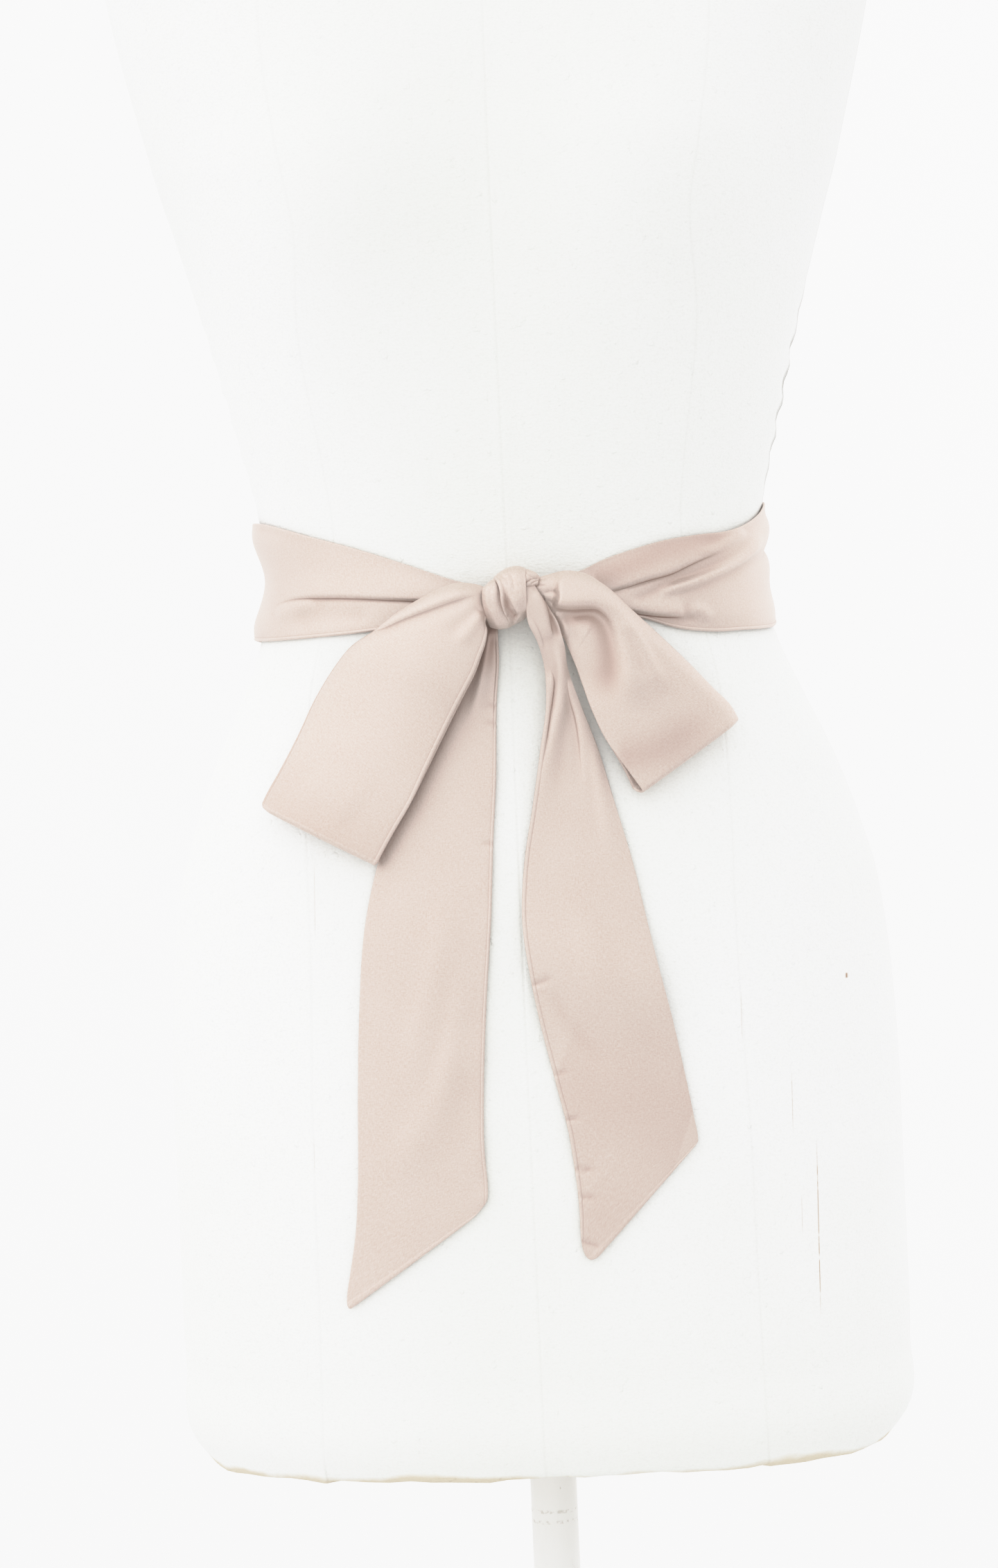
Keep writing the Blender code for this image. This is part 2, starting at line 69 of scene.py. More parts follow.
eye = AIM + EYE_DISTANCE * np.array([math.sin(EYE_TURN), -math.cos(EYE_TURN), 0])
forward = (AIM - eye) / EYE_DISTANCE
level = np.cross(forward, (0, 0, 1))
level_up = np.cross(level, forward)
camera_right = level * math.cos(CAMERA_ROLL) - level_up * math.sin(CAMERA_ROLL)
camera_up = level * math.sin(CAMERA_ROLL) + level_up * math.cos(CAMERA_ROLL)
camera = bpy.data.objects.new("camera", bpy.data.cameras.new("camera"))
camera.data.sensor_fit = "AUTO"
camera.data.sensor_width = SENSOR_LONG_SIDE_MM
camera.data.lens = LENS_MM
camera.matrix_world = placed(camera_right, camera_up, -forward, eye)
bpy.context.scene.collection.objects.link(camera)
bpy.context.scene.camera = camera

# Tone curve, in and out: even up to light grey, then a soft shoulder, as in a bright print
TONES = [(0.5, 0.5), (0.72, 0.735), (0.9, 0.865), (1.1, 0.93), (1.3, 0.965)]
view = bpy.context.scene.view_settings
view.view_transform = "Standard"
view.look = "None"
view.use_curve_mapping = True
view.curve_mapping.clip_max_x = 2.0
view.curve_mapping.clip_max_y = 1.0
tone_curve = view.curve_mapping.curves[3]
tone_curve.points[-1].location = (2.0, 1.0)
for tone in TONES:
    tone_curve.points.new(*tone)
view.curve_mapping.update()

# Studio light
# A white room: even behind the form, brighter overhead and towards the window side at the
# left, dimmer low on the right, with one very broad and soft lamp on the window side.

# Brightness by height: 0 is straight down, 0.5 the horizon and 1 straight up
ROOM_LEVELS = [(0.0, 0.78), (0.30, 0.95), (0.395, 1.14), (0.60, 1.18), (0.85, 1.30), (1.0, 1.34)]

# Broad lobes on top of it: direction, gain at the middle, and the cosine where it starts
ROOM_LOBES = [
    ((-0.90, -0.35, 0.25), 0.12, 0.0),
    ((0.93, -0.35, -0.25), -0.22, 0.55),
    ((0.80, 0.60, 0.10), 0.30, 0.6),
]
KEY_FROM = np.array([-0.80, -0.50, 0.60])
KEY_STRENGTH = 0.18
KEY_SPREAD = math.radians(70)


class Shading:
    """A node tree in the making. A value in it is a socket or a plain number."""

    def __init__(self, tree):
        self.nodes, self.links = tree.nodes, tree.links

    def feed(self, node, inputs):
        """Gives a node's inputs, by name or number, a socket or a plain value each."""
        for name, value in inputs.items():
            if isinstance(value, bpy.types.NodeSocket):
                self.links.new(value, node.inputs[name])
            else:
                node.inputs[name].default_value = value

    def new(self, kind, inputs, output=0, **settings):
        """An output of a new node with these settings and inputs."""
        node = self.nodes.new("ShaderNode" + kind)
        for setting, choice in settings.items():
            setattr(node, setting, choice)
        self.feed(node, inputs)
        return node.outputs[output]

    def between(self, value, low, high, to_low=0.0, to_high=1.0, easing="LINEAR"):
        """A value carried from the range low..high to to_low..to_high, and held there."""
        limits = {"From Min": low, "From Max": high, "To Min": to_low, "To Max": to_high}
        return self.new("MapRange", {"Value": value, **limits}, interpolation_type=easing)

    def math(self, operation, first, second=0.0):
        """Sum, product or the like of two values."""
        return self.new("Math", {0: first, 1: second}, operation=operation)

    def plus(self, first, second):
        """Sum of two values."""
        return self.math("ADD", first, second)

    def times(self, first, second):
        """Product of two values."""
        return self.math("MULTIPLY", first, second)

    def noise(self, source, scale, detail, stretch=(1, 1, 1)):
        """Noise pattern of so many features a metre, stretched along the axes of source."""
        mapped = self.new("Mapping", {"Scale": stretch, "Vector": source})
        return self.new("TexNoise", {"Scale": scale, "Detail": detail, "Vector": mapped}, "Fac")

    def mix(self, factor, first, second):
        """Colour between two, each a socket or its red, green and blue."""
        first, second = ((*one, 1) if isinstance(one, tuple) else one for one in (first, second))
        return self.new("Mix", {"Factor": factor, "A": first, "B": second}, "Result", data_type="RGBA")

    def mark(self, label):
        """One of a mesh's own attributes."""
        return self.new("Attribute", {}, "Fac", attribute_name=label)

    def bump(self, value, depth, strength):
        """Bump of so many metres from a value."""
        return self.new("Bump", {"Distance": depth, "Strength": strength, "Height": value})


world = bpy.data.worlds.new("white_room")
bpy.context.scene.world = world
world.use_nodes = True
sky = Shading(world.node_tree)
direction = sky.new("TexCoord", {}, "Generated")
height = sky.between(sky.new("SeparateXYZ", {0: direction}, "Z"), -1.0, 1.0)
glow = sky.new("FloatCurve", {"Value": height})
levels = glow.node.mapping
levels.clip_max_y = 2.0
for k, share_and_level in enumerate(ROOM_LEVELS):
    if k in (0, len(ROOM_LEVELS) - 1):
        levels.curves[0].points[0 if k == 0 else -1].location = share_and_level
    else:
        levels.curves[0].points.new(*share_and_level)
for point in levels.curves[0].points:
    point.handle_type = "VECTOR"
levels.update()
for side, gain, edge in ROOM_LOBES:
    towards = tuple(np.array(side) / np.linalg.norm(side))
    cosine = sky.new("VectorMath", {0: direction, 1: towards}, "Value", operation="DOT_PRODUCT")
    glow = sky.plus(sky.between(cosine, edge, 1.0, 0.0, gain, "SMOOTHSTEP"), glow)
sky.feed(sky.nodes["Background"], {"Strength": glow, "Color": (1.0, 0.999, 0.997, 1)})

key = bpy.data.objects.new("key_lamp", bpy.data.lights.new("key_lamp", "SUN"))
key.data.energy = KEY_STRENGTH
key.data.angle = KEY_SPREAD
key.data.color = (1.0, 0.985, 0.965)
key_axis = KEY_FROM / np.linalg.norm(KEY_FROM)
key_side = np.cross((0, 0, 1), key_axis)
key_side /= np.linalg.norm(key_side)
key.matrix_world = placed(key_side, np.cross(key_axis, key_side), key_axis)
bpy.context.scene.collection.objects.link(key)

# Floor
# A pale round floor under the base that fades out before the room's horizon. It isn't
# part of the object.

MM = 0.001
FLOOR_RADIUS, FLOOR_SOLID = 2.0, 0.5
FLOOR_SIDES, FLOOR_RINGS = 96, 24


def quads(rows, columns, round_rows=False, round_columns=False):
    """Corner numbers of a grid's faces; a round direction joins its last line to its first."""
    i = np.arange(rows if round_rows else rows - 1)[:, None]
    j = np.arange(columns if round_columns else columns - 1)[None, :]
    next_i, next_j = (i + 1) % rows, (j + 1) % columns
    corners = [i * columns + j, next_i * columns + j, next_i * columns + next_j, i * columns + next_j]
    return np.stack(corners, axis=-1).reshape(-1, 4)


def add_piece(name, points, faces, material, uv=None, marks=None):
    """Mesh object of points and four-sided faces, turned so that a closed one faces outward.

    uv is one pair a point, in metres along the cloth, and marks holds named attributes
    for the material to read, with one number a point. Points that coincide are merged.
    """
    corner = points[faces]
    middle = np.cross(corner[:, 2] - corner[:, 0], corner[:, 3] - corner[:, 1])
    if (corner.mean(axis=1) * middle).sum() < 0:
        faces = faces[:, ::-1]
    mesh = bpy.data.meshes.new(name)
    mesh.from_pydata(points.tolist(), [], faces.tolist())
    for label, values in (marks or {}).items():
        mesh.attributes.new(label, "FLOAT", "POINT").data.foreach_set("value", np.float32(values.ravel()))
    if uv is not None:
        layer = mesh.uv_layers.new(name="cloth")
        layer.data.foreach_set("uv", np.float32(uv[faces.ravel()].ravel()))
    working = bmesh.new()
    working.from_mesh(mesh)
    bmesh.ops.remove_doubles(working, verts=working.verts, dist=1e-7)
    working.to_mesh(mesh)
    working.free()
    mesh.shade_smooth()
    mesh.materials.append(material)
    piece = bpy.data.objects.new(name, mesh)
    bpy.context.scene.collection.objects.link(piece)
    return piece


def new_material(name):
    """A material, the shading of its node tree and its Principled shader."""
    material = bpy.data.materials.new(name)
    material.use_nodes = True
    shading = Shading(material.node_tree)
    return material, shading, shading.nodes["Principled BSDF"]


floor_paint, paint, shader = new_material("floor_paint")
paint.feed(shader, {"Base Color": (0.78, 0.78, 0.785, 1), "Roughness": 0.9, "Specular IOR Level": 0.2})
place = paint.new("TexCoord", {}, "Object")
distance = paint.new("VectorMath", {0: place}, "Value", operation="LENGTH")
fade = paint.between(distance, FLOOR_RADIUS, FLOOR_SOLID, easing="SMOOTHERSTEP")
clear = paint.new("BsdfTransparent", {})
blend = paint.new("MixShader", {0: fade, 1: clear, 2: shader.outputs[0]})
paint.feed(paint.nodes["Material Output"], {"Surface": blend})

turn = np.linspace(0, 2 * math.pi, FLOOR_SIDES, endpoint=False)[None, :]
reach = np.linspace(0.0, FLOOR_RADIUS, FLOOR_RINGS)[:, None]
floor_grid = np.stack([reach * np.cos(turn), reach * np.sin(turn), 0 * reach * turn - 0.1 * MM], axis=-1)
floor_faces = quads(FLOOR_RINGS, FLOOR_SIDES, round_columns=True)
add_piece("floor", floor_grid.reshape(-1, 3), floor_faces, floor_paint)

# Dress form
# The torso is papier-mâché, covered with panels of canvas that are sewn together at eight
# upright seams and painted white by brush. It is closed at the neck and the shoulders,
# and its raw lower edge shows as a thin cream line.

WAIST_HEIGHT = 1.030
FORM_BOTTOM = WAIST_HEIGHT - 0.411
POLE_RADIUS = 0.011
SOCKET_RADIUS = POLE_RADIUS + 0.0003
SOCKET_DEPTH = 0.060

FormRow = namedtuple("FormRow", "height half_width front back squareness")

# Sections by height above the waist; front and back are measured from the pole's axis
FORM_ROWS = [
    FormRow(-411, 160, 104, 104, 2.3),
    FormRow(-401, 168, 111, 110, 2.3),
    FormRow(-366, 171, 114, 113, 2.3),
    FormRow(-322, 171.5, 115, 114, 2.3),
    FormRow(-277, 171.5, 116, 115, 2.3),
    FormRow(-240, 171.5, 116, 116, 2.3),
    FormRow(-195, 170, 115, 116, 2.3),
    FormRow(-166, 167.5, 114, 115, 2.3),
    FormRow(-143, 164, 112, 113, 2.3),
    FormRow(-125, 159, 110, 110, 2.3),
    FormRow(-106, 153, 108, 106, 2.25),
    FormRow(-84, 144.5, 105, 100, 2.25),
    FormRow(-61, 134, 102, 93, 2.2),
    FormRow(-35, 123, 99, 86, 2.2),
    FormRow(0, 116, 97, 81, 2.2),
    FormRow(35, 120, 99, 83, 2.2),
    FormRow(65, 127, 102, 87, 2.25),
    FormRow(102, 136, 105, 93, 2.3),
    FormRow(147, 148, 106, 100, 2.4),
    FormRow(168, 154, 106, 103, 2.45),
    FormRow(188, 160, 105, 105, 2.5),
    FormRow(210, 165.5, 102, 107, 2.5),
    FormRow(232, 171, 99, 108, 2.5),
    FormRow(273, 180, 90, 107, 2.5),
    FormRow(310, 185, 79, 101, 2.5),
    FormRow(335, 183, 70, 93, 2.5),
    FormRow(352, 172, 63, 84, 2.4),
    FormRow(368, 142, 59, 75, 2.3),
    FormRow(384, 105, 60, 68, 2.2),
    FormRow(400, 74, 62, 60, 2.1),
    FormRow(416, 60, 62, 53, 2),
    FormRow(438, 55, 62, 47, 2),
    FormRow(456, 54, 62, 44, 2),
    FormRow(463, 51, 59, 41, 2),
    FormRow(466, 44, 52, 34, 2),
]
BUST_X, BUST_Z, BUST_RISE = 80 * MM, WAIST_HEIGHT + 172 * MM, 20 * MM
BUST_SPREAD_X, BUST_SPREAD_Z = 52 * MM, 60 * MM

# Seams: x of the princess seams by height above the waist, in front and behind
PRINCESS_HEIGHTS = [-411, -324, -262, -166, -104, -61, 22, 47, 108, 157, 185, 250, 330, 380, 466]
PRINCESS_FRONT_X = [100, 98.5, 98, 95.5, 95.4, 93, 79, 82, 90, 89, 94, 102, 96, 70, 24]
PRINCESS_BACK_X = [92, 92, 91, 88, 82, 76, 66, 68, 74, 80, 84, 90, 88, 62, 20]
SEAM_OFFSETS = np.array([-9, -5.5, -3.4, -2, -1.1, -0.5, 0, 0.5, 1.1, 2, 3.4, 5.5, 9]) * MM
SEAM_COLUMNS, PANEL_COLUMNS = len(SEAM_OFFSETS), 8
FORM_STEPS = 236
SIDE_SEAM_ANGLE = math.radians(87)
SIDE_SEAMS, PANELS_BESIDE_THEM = (2, 6), (1, 2, 5, 6)
SEAM_DEPTH, LIP_WIDTH, GROOVE_WIDTH = 0.30 * MM, 3.2 * MM, 0.5 * MM
PUCKER_MIDDLE, PUCKER_SPREAD, PUCKER_SPACING = 84, 36, 15


def bell(x):
    """A bell of height 1: e to the power of minus x squared."""
    return np.exp(-(x**2))


def smooth(keys, values, at):
    """Cubic curve through a table's rows, with each row's slope taken from its neighbours."""
    keys, values, at = np.asarray(keys, float), np.asarray(values, float), np.asarray(at, float)
    step = np.diff(keys)
    rise = np.diff(values, axis=0) / step[:, None]
    slope = np.empty_like(values)
    slope[0], slope[-1] = rise[0], rise[-1]
    before, after = step[:-1, None], step[1:, None]
    slope[1:-1] = (rise[:-1] * after + rise[1:] * before) / (before + after)
    i = np.clip(np.searchsorted(keys, at, side="right") - 1, 0, len(step) - 1)
    t = ((at - keys[i]) / step[i])[:, None]
    h = step[i][:, None]
    start = (1 + 2 * t) * (1 - t) ** 2 * values[i] + t * (1 - t) ** 2 * h * slope[i]
    end = t**2 * (3 - 2 * t) * values[i + 1] + t**2 * (t - 1) * h * slope[i + 1]
    return start + end


def form_section(z):
    """Half width, front and back depth and squareness of the form at heights z."""
    heights = [row.height * MM + WAIST_HEIGHT for row in FORM_ROWS]
    sizes = [(row.half_width * MM, row.front * MM, row.back * MM, row.squareness) for row in FORM_ROWS]
    return [column.reshape(z.shape) for column in smooth(heights, sizes, z.ravel()).T]


def bust_rise(x, z):
    """How far the bust stands out: one bell-shaped rise on each side, in x and in z."""
    across, up = (np.abs(x) - BUST_X) / BUST_SPREAD_X, (z - BUST_Z) / BUST_SPREAD_Z
    return BUST_RISE * bell(across) * bell(up)


def form_point(angle, z, out=0.0):
    """Rounded oval: x and y are a power of the sine and cosine of an angle from the front."""
    half_width, front, back, squareness = form_section(z)
    side, ahead = np.sin(angle), np.cos(angle)
    x = (half_width + out) * np.sign(side) * np.abs(side) ** (2 / squareness)
    depth = np.where(ahead > 0, front, back) + out
    y = -depth * np.sign(ahead) * np.abs(ahead) ** (2 / squareness)
    y = y - np.where(ahead > 0, bust_rise(x, z) * np.clip(ahead, 0, 1), 0)
    return np.stack([x, y, z + 0 * x], axis=-1)


def form_front(x, z):
    """y of the form's front surface at x and z, from the same oval."""
    half_width, front, _, squareness = form_section(z)
    inside = 1 - np.clip(np.abs(x) / half_width, 0, 0.98) ** squareness
    return -front * inside ** (1 / squareness)


def form_surface(turn, z, relief):
    """The same oval by the true angle round the pole, moved out by relief, and its radius.

    The radius solves (x / half width)^n + (y / depth)^n = 1 along that angle.
    """
    half_width, front, back, n = form_section(z)
    side, ahead = np.abs(np.sin(turn)), np.cos(turn)
    depth = np.where(ahead > 0, front, back)
    radius = ((side / half_width) ** n + (np.abs(ahead) / depth) ** n) ** (-1 / n)
    share = np.clip(np.abs(ahead) * radius / depth, 0, 1) ** (n / 2)
    bust = np.where(ahead > 0, bust_rise(radius * np.sin(turn), z) * share, 0)
    out = radius + relief
    return np.stack([out * np.sin(turn), -out * ahead - bust, z], axis=-1), radius


lowest, highest = FORM_ROWS[0].height, FORM_ROWS[-1].height
level = sorted({row.height for row in FORM_ROWS} | set(np.linspace(lowest, highest, FORM_STEPS)))
level = np.array(level)
rows_z = (WAIST_HEIGHT + level * MM)[:, None]
half_width, front, back, n = (part[:, 0] for part in form_section(rows_z))
seam_front = smooth(PRINCESS_HEIGHTS, np.array(PRINCESS_FRONT_X)[:, None] * MM, level)[:, 0]
seam_back = smooth(PRINCESS_HEIGHTS, np.array(PRINCESS_BACK_X)[:, None] * MM, level)[:, 0]
front_turn = np.arctan2(seam_front, front * (1 - (seam_front / half_width) ** n) ** (1 / n))
back_turn = math.pi - np.arctan2(seam_back, back * (1 - (seam_back / half_width) ** n) ** (1 / n))
side_turn = np.full(len(level), SIDE_SEAM_ANGLE)
seams = [0 * level, front_turn, side_turn, back_turn, 0 * level + math.pi]
seams += [2 * math.pi - back_turn, 2 * math.pi - side_turn, 2 * math.pi - front_turn]

# Columns of points: close ones over each seam, then even ones over the panel after it
turns, aways, sides = [], [], []
for k, (seam, following) in enumerate(zip(seams, [*seams[1:], seams[0] + 2 * math.pi])):
    _, radius = form_surface(seam[:, None], rows_z, 0)
    _, next_radius = form_surface(following[:, None], rows_z, 0)
    first = seam[:, None] + SEAM_OFFSETS[None, :] / radius
    last = following[:, None] + SEAM_OFFSETS[:1] / next_radius
    share = np.linspace(0, 1, PANEL_COLUMNS + 2)[None, 1:-1]
    turns += [first, first[:, -1:] + (last - first[:, -1:]) * share]
    aways += [np.abs(SEAM_OFFSETS), np.minimum(share[0], 1 - share[0]) * 60 * MM + 9 * MM]
    sides += [np.full(SEAM_COLUMNS, k in SIDE_SEAMS), np.full(PANEL_COLUMNS, k in PANELS_BESIDE_THEM)]
turns, away, near_side = np.concatenate(turns, axis=1), np.concatenate(aways), np.concatenate(sides)

# A seam is a sharp groove between two low lips, and the side seams are drawn up in puckers
lips, groove = SEAM_DEPTH * bell(away / LIP_WIDTH), SEAM_DEPTH * bell(away / GROOVE_WIDTH)
pucker_height = bell((level - PUCKER_MIDDLE) / PUCKER_SPREAD)[:, None]
uneven = level / PUCKER_SPACING * 2 * math.pi + 1.3 * np.sin(level / 31)
pucker = np.sin(uneven)[:, None] * pucker_height
pucker = (1.1 * pucker - 0.5 * pucker_height) * MM * (near_side * bell(away / (6 * MM)))[None, :]
body, _ = form_surface(turns, rows_z + 0 * turns, (lips - groove)[None, :] + pucker)

# The right side seam's raw edge curls out behind the outline: height, half length, rise
SELVAGE = [(104, 4, 0.8), (87, 6, 1.2), (72.5, 5.5, 1.0), (58, 5, 0.8), (43, 7, 0.5), (118, 9, 0.4)]
beyond = np.zeros(len(away))
right_side = SIDE_SEAMS[0] * (SEAM_COLUMNS + PANEL_COLUMNS)
beyond[right_side : right_side + SEAM_COLUMNS] = bell((SEAM_OFFSETS - 2.2 * MM) / (1.3 * MM))
curl = sum(rise * bell((level - height) / long) for height, long, rise in SELVAGE)[:, None]
body += (curl + 0.25)[:, :, None] * beyond[None, :, None] * np.array([1, 0.4, 0]) * MM

# The raw lower edge waves a little, and each panel of canvas ends at its own height
PANEL_DROPS = np.array([0.5, -0.7, 0.3, 0.0, -0.3, 0.4, -0.9, 0.6]) * MM
panel = (np.arange(len(away)) - SEAM_COLUMNS // 2 - 1) // (SEAM_COLUMNS + PANEL_COLUMNS) % len(PANEL_DROPS)
bearing = turns[0]
wave = 0.6 * np.sin(5 * bearing + 0.6) + 0.45 * np.sin(13 * bearing + 2) + 0.3 * np.sin(31 * bearing)
drop = wave * MM + PANEL_DROPS[panel]
body[:, :, 2] += drop * np.exp(-((rows_z - FORM_BOTTOM) / (7 * MM)))


def ring_inward(ring, share, z):
    """A ring shrunk towards the pole's axis to a share of its size, at height z."""
    return np.column_stack([ring[:, :2] * share, np.broadcast_to(z, len(ring))])[None]


def round_ring(ring, radius, z):
    """A circle with one point on the bearing of each point of a ring."""
    flat = ring[:, :2] / np.linalg.norm(ring[:, :2], axis=1, keepdims=True) * radius
    return np.concatenate([flat, np.full((len(ring), 1), z)], axis=1)[None]


top = WAIST_HEIGHT + highest * MM
socket_rings = [(0.01 * MM, SOCKET_DEPTH), (SOCKET_RADIUS, SOCKET_DEPTH), (SOCKET_RADIUS, 0)]
under = [round_ring(body[0], radius, FORM_BOTTOM + depth) for radius, depth in socket_rings]
under += [ring_inward(body[0], 0.5, FORM_BOTTOM)]
under += [ring_inward(body[0], share, FORM_BOTTOM + drop * share) for share in (0.9, 0.985)]
over = [ring_inward(body[-1], share, top) for share in (0.97, 0.6, 0.25, 1e-4)]
form_grid = np.concatenate([*under, body, *over])
seam_mark, curl_shade_mark = np.zeros((2, len(form_grid), len(away)))
seam_mark[len(under) : -len(over)] = bell(away / (0.6 * MM))
# Painted shade: the curl behind the right side seam is darkened, most below the arm
below_arm = np.clip((320 - level) / 60, 0, 1)[:, None]
curl_shade_mark[len(under) : -len(over)] = np.clip(0.45 * below_arm + curl, 0, 1) * beyond

# Painted canvas: brushed white, a little grey in the seams, cream at the raw lower edge,
# and a few brown scratches and a dark chip on the right hip. Its colour also holds painted
# light: whiter towards the sides, painted shade towards the bottom, and dark grey painted
# shade on the curl behind the right side seam
CANVAS_WHITE, CANVAS_DULL = (0.935, 0.938, 0.928), (0.862, 0.874, 0.832)
PIT_GREY, SEAM_GREY, CURL_SHADE_GREY = (0.78, 0.775, 0.745), (0.62, 0.60, 0.57), (0.40, 0.385, 0.36)
BARE_CANVAS, SCRATCH_BROWN = (0.64, 0.55, 0.41), (0.36, 0.22, 0.13)
Scratch = namedtuple("Scratch", "x z half_x half_z strength")
SCRATCHES = [
    Scratch(127, -305, 0.36, 41, 0.85), Scratch(117.4, -247, 0.3, 14, 0.5),
    Scratch(119.6, -298, 0.22, 9, 0.5), Scratch(145.5, -193, 0.9, 1.4, 1),
    Scratch(-93, -148, 0.45, 18, 0.3), Scratch(-98, -262, 0.3, 8, 0.3), Scratch(96, -208, 0.4, 12, 0.3),
]
SCRATCH_LEAN = 0.02

canvas, paint, shader = new_material("painted_canvas")
place = paint.new("TexCoord", {}, "Object")
at = paint.new("SeparateXYZ", {0: place}).node.outputs
patches = paint.between(paint.noise(place, 7, 4), 0.35, 0.7)
# Painted light: the canvas is whiter towards the sides and duller in the middle
painted_side_light = paint.between(paint.math("ABSOLUTE", at["X"]), 0.02, 0.12)
# Painted shade: the canvas is duller towards the bottom
painted_low_shade = paint.between(at["Z"], FORM_BOTTOM + 0.02, FORM_BOTTOM + 0.16, 0.45, 0.0)
patches = paint.math("SUBTRACT", paint.times(paint.plus(patches, painted_side_light), 0.6), painted_low_shade)
colour = paint.mix(patches, CANVAS_DULL, CANVAS_WHITE)
pits = paint.between(paint.noise(place, 900, 3), 0.50, 0.36)
colour = paint.mix(paint.times(pits, 0.32), colour, PIT_GREY)
colour = paint.mix(paint.times(paint.mark("seam"), 0.12), colour, SEAM_GREY)
# Painted shade: dark grey on the curl behind the right side seam's outline
colour = paint.mix(paint.times(paint.mark("curl_shade"), 0.9), colour, CURL_SHADE_GREY)
torn = paint.between(paint.noise(place, 26, 4), 0.3, 0.7, 1.5 * MM, -3.5 * MM)
bare = paint.between(paint.plus(at["Z"], torn), FORM_BOTTOM + 2.0 * MM, FORM_BOTTOM - 0.4 * MM)
colour = paint.mix(paint.times(bare, 0.75), colour, BARE_CANVAS)
rag = paint.noise(place, 160, 4)
ahead = paint.math("LESS_THAN", at["Y"], 0.0)
for scratch in SCRATCHES:
    up = paint.math("SUBTRACT", at["Z"], WAIST_HEIGHT + scratch.z * MM)
    off_x = paint.plus(paint.math("SUBTRACT", at["X"], scratch.x * MM), paint.times(up, -SCRATCH_LEAN))
    sliver = paint.between(paint.math("ABSOLUTE", off_x), scratch.half_x * MM, 0)
    length = paint.between(paint.math("ABSOLUTE", up), scratch.half_z * MM, 0.6 * scratch.half_z * MM)
    worn = paint.times(paint.times(sliver, length), ahead)
    worn = paint.times(worn, paint.between(rag, 0.26, 0.42, 0.0, scratch.strength))
    colour = paint.mix(worn, colour, SCRATCH_BROWN)
weave = paint.noise(place, 800, 3, (0.7, 0.7, 1.3))
brush = paint.noise(place, 70, 5, (2.0, 2.0, 0.6))
lumps = paint.between(paint.noise(place, 260, 2), 0.66, 0.80)
grain = paint.plus(paint.plus(paint.times(weave, 0.6), brush), paint.times(lumps, 0.7))
paint.feed(shader, {"Base Color": colour, "Normal": paint.bump(grain, 0.9 * MM, 0.55)})
paint.feed(shader, {"Roughness": 0.66, "Specular IOR Level": 0.4})

form_marks = {"seam": seam_mark, "curl_shade": curl_shade_mark}
form_faces = quads(len(form_grid), len(away), round_columns=True)
form = add_piece("form_body", form_grid.reshape(-1, 3), form_faces, canvas, marks=form_marks)
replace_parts(form, "dress_form")
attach(form, "root")

# Stand
# A steel tube painted white stands in the hub of a round white base of cast iron. Both
# are turned about the pole's axis, and the tube goes up into the form's socket.

# Outlines as pairs of radius and height
BASE_PROFILE = [
    (0, 2), (150, 2), (185, 0.6), (194, 0), (197.5, 0.5), (199.4, 1.8), (200, 4), (200, 8),
    (199.4, 10.2), (197.6, 12), (194, 13.2), (180, 14.4), (160, 15.8), (120, 18), (80, 20),
    (46, 21.6), (36, 22.6), (30, 24.2), (26, 27), (24, 30), (22.6, 33), (22, 37), (22, 70),
    (21.6, 72.4), (20.4, 74.2), (18.6, 75), (13, 75), (11.9, 74.6), (11.3, 73.6), (11.3, 14), (0, 14),
]
POLE_PROFILE = [
    (0, 14.3), (10.2, 14.3), (11, 15), (11, 300), (11, 560), (11, 600), (11, 640),
    (11, 677.9), (10.2, 678.7), (0, 678.7),
]
SHARP_FROM = math.radians(50)


def lathe(name, profile, sides, material):
    """Profile of (radius, height) turned about the pole's axis."""
    radius, height = (np.array(profile, float) * MM).T[:, :, None]
    turn = np.linspace(0, 2 * math.pi, sides, endpoint=False)[None, :]
    grid = np.stack([radius * np.cos(turn), radius * np.sin(turn), height + 0 * turn], axis=-1)
    piece = add_piece(name, grid.reshape(-1, 3), quads(len(profile), sides, round_columns=True), material)
    piece.data.set_sharp_from_angle(angle=SHARP_FROM)
    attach(piece, "root")
    return piece


# Enamel: white, worn to specks of grey metal under the form and at two rings on the tube
ENAMEL_WHITE, ENAMEL_DULL = (0.84, 0.84, 0.83), (0.78, 0.78, 0.765)
CHIP_GREY, RING_GREY = (0.45, 0.40, 0.34), (0.30, 0.25, 0.20)
WORN_FROM, WORN_TO = 0.585, 0.605
WORN_RINGS = (0.5862, 0.5812)

enamel, paint, shader = new_material("white_enamel")
place = paint.new("TexCoord", {}, "Object")
z = paint.new("SeparateXYZ", {0: place}, "Z")
patches = paint.between(paint.noise(place, 30, 4, (1, 1, 0.3)), 0.3, 0.75)
colour = paint.mix(patches, ENAMEL_DULL, ENAMEL_WHITE)
chips = paint.between(paint.noise(place, 210, 5, (1, 1, 0.35)), 0.66, 0.70)
chips = paint.times(chips, paint.plus(paint.between(z, WORN_FROM, WORN_TO), 0.15))
colour = paint.mix(chips, colour, CHIP_GREY)
fleck = paint.between(paint.noise(place, 480, 4), 0.50, 0.60)
for ring_height in WORN_RINGS:
    off_ring = paint.math("ABSOLUTE", paint.math("SUBTRACT", z, ring_height))
    ring = paint.times(paint.between(off_ring, 1.1 * MM, 0.4 * MM, 0.0, 0.35), fleck)
    colour = paint.mix(ring, colour, RING_GREY)
paint.feed(shader, {"Base Color": colour, "Normal": paint.bump(paint.noise(place, 150, 4), 0.4 * MM, 0.25)})
paint.feed(shader, {"Roughness": 0.42, "Coat Weight": 0.15})

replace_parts(lathe("base_casting", BASE_PROFILE, 128, enamel), "stand_base")
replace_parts(lathe("pole_tube", POLE_PROFILE, 72, enamel), "pole")

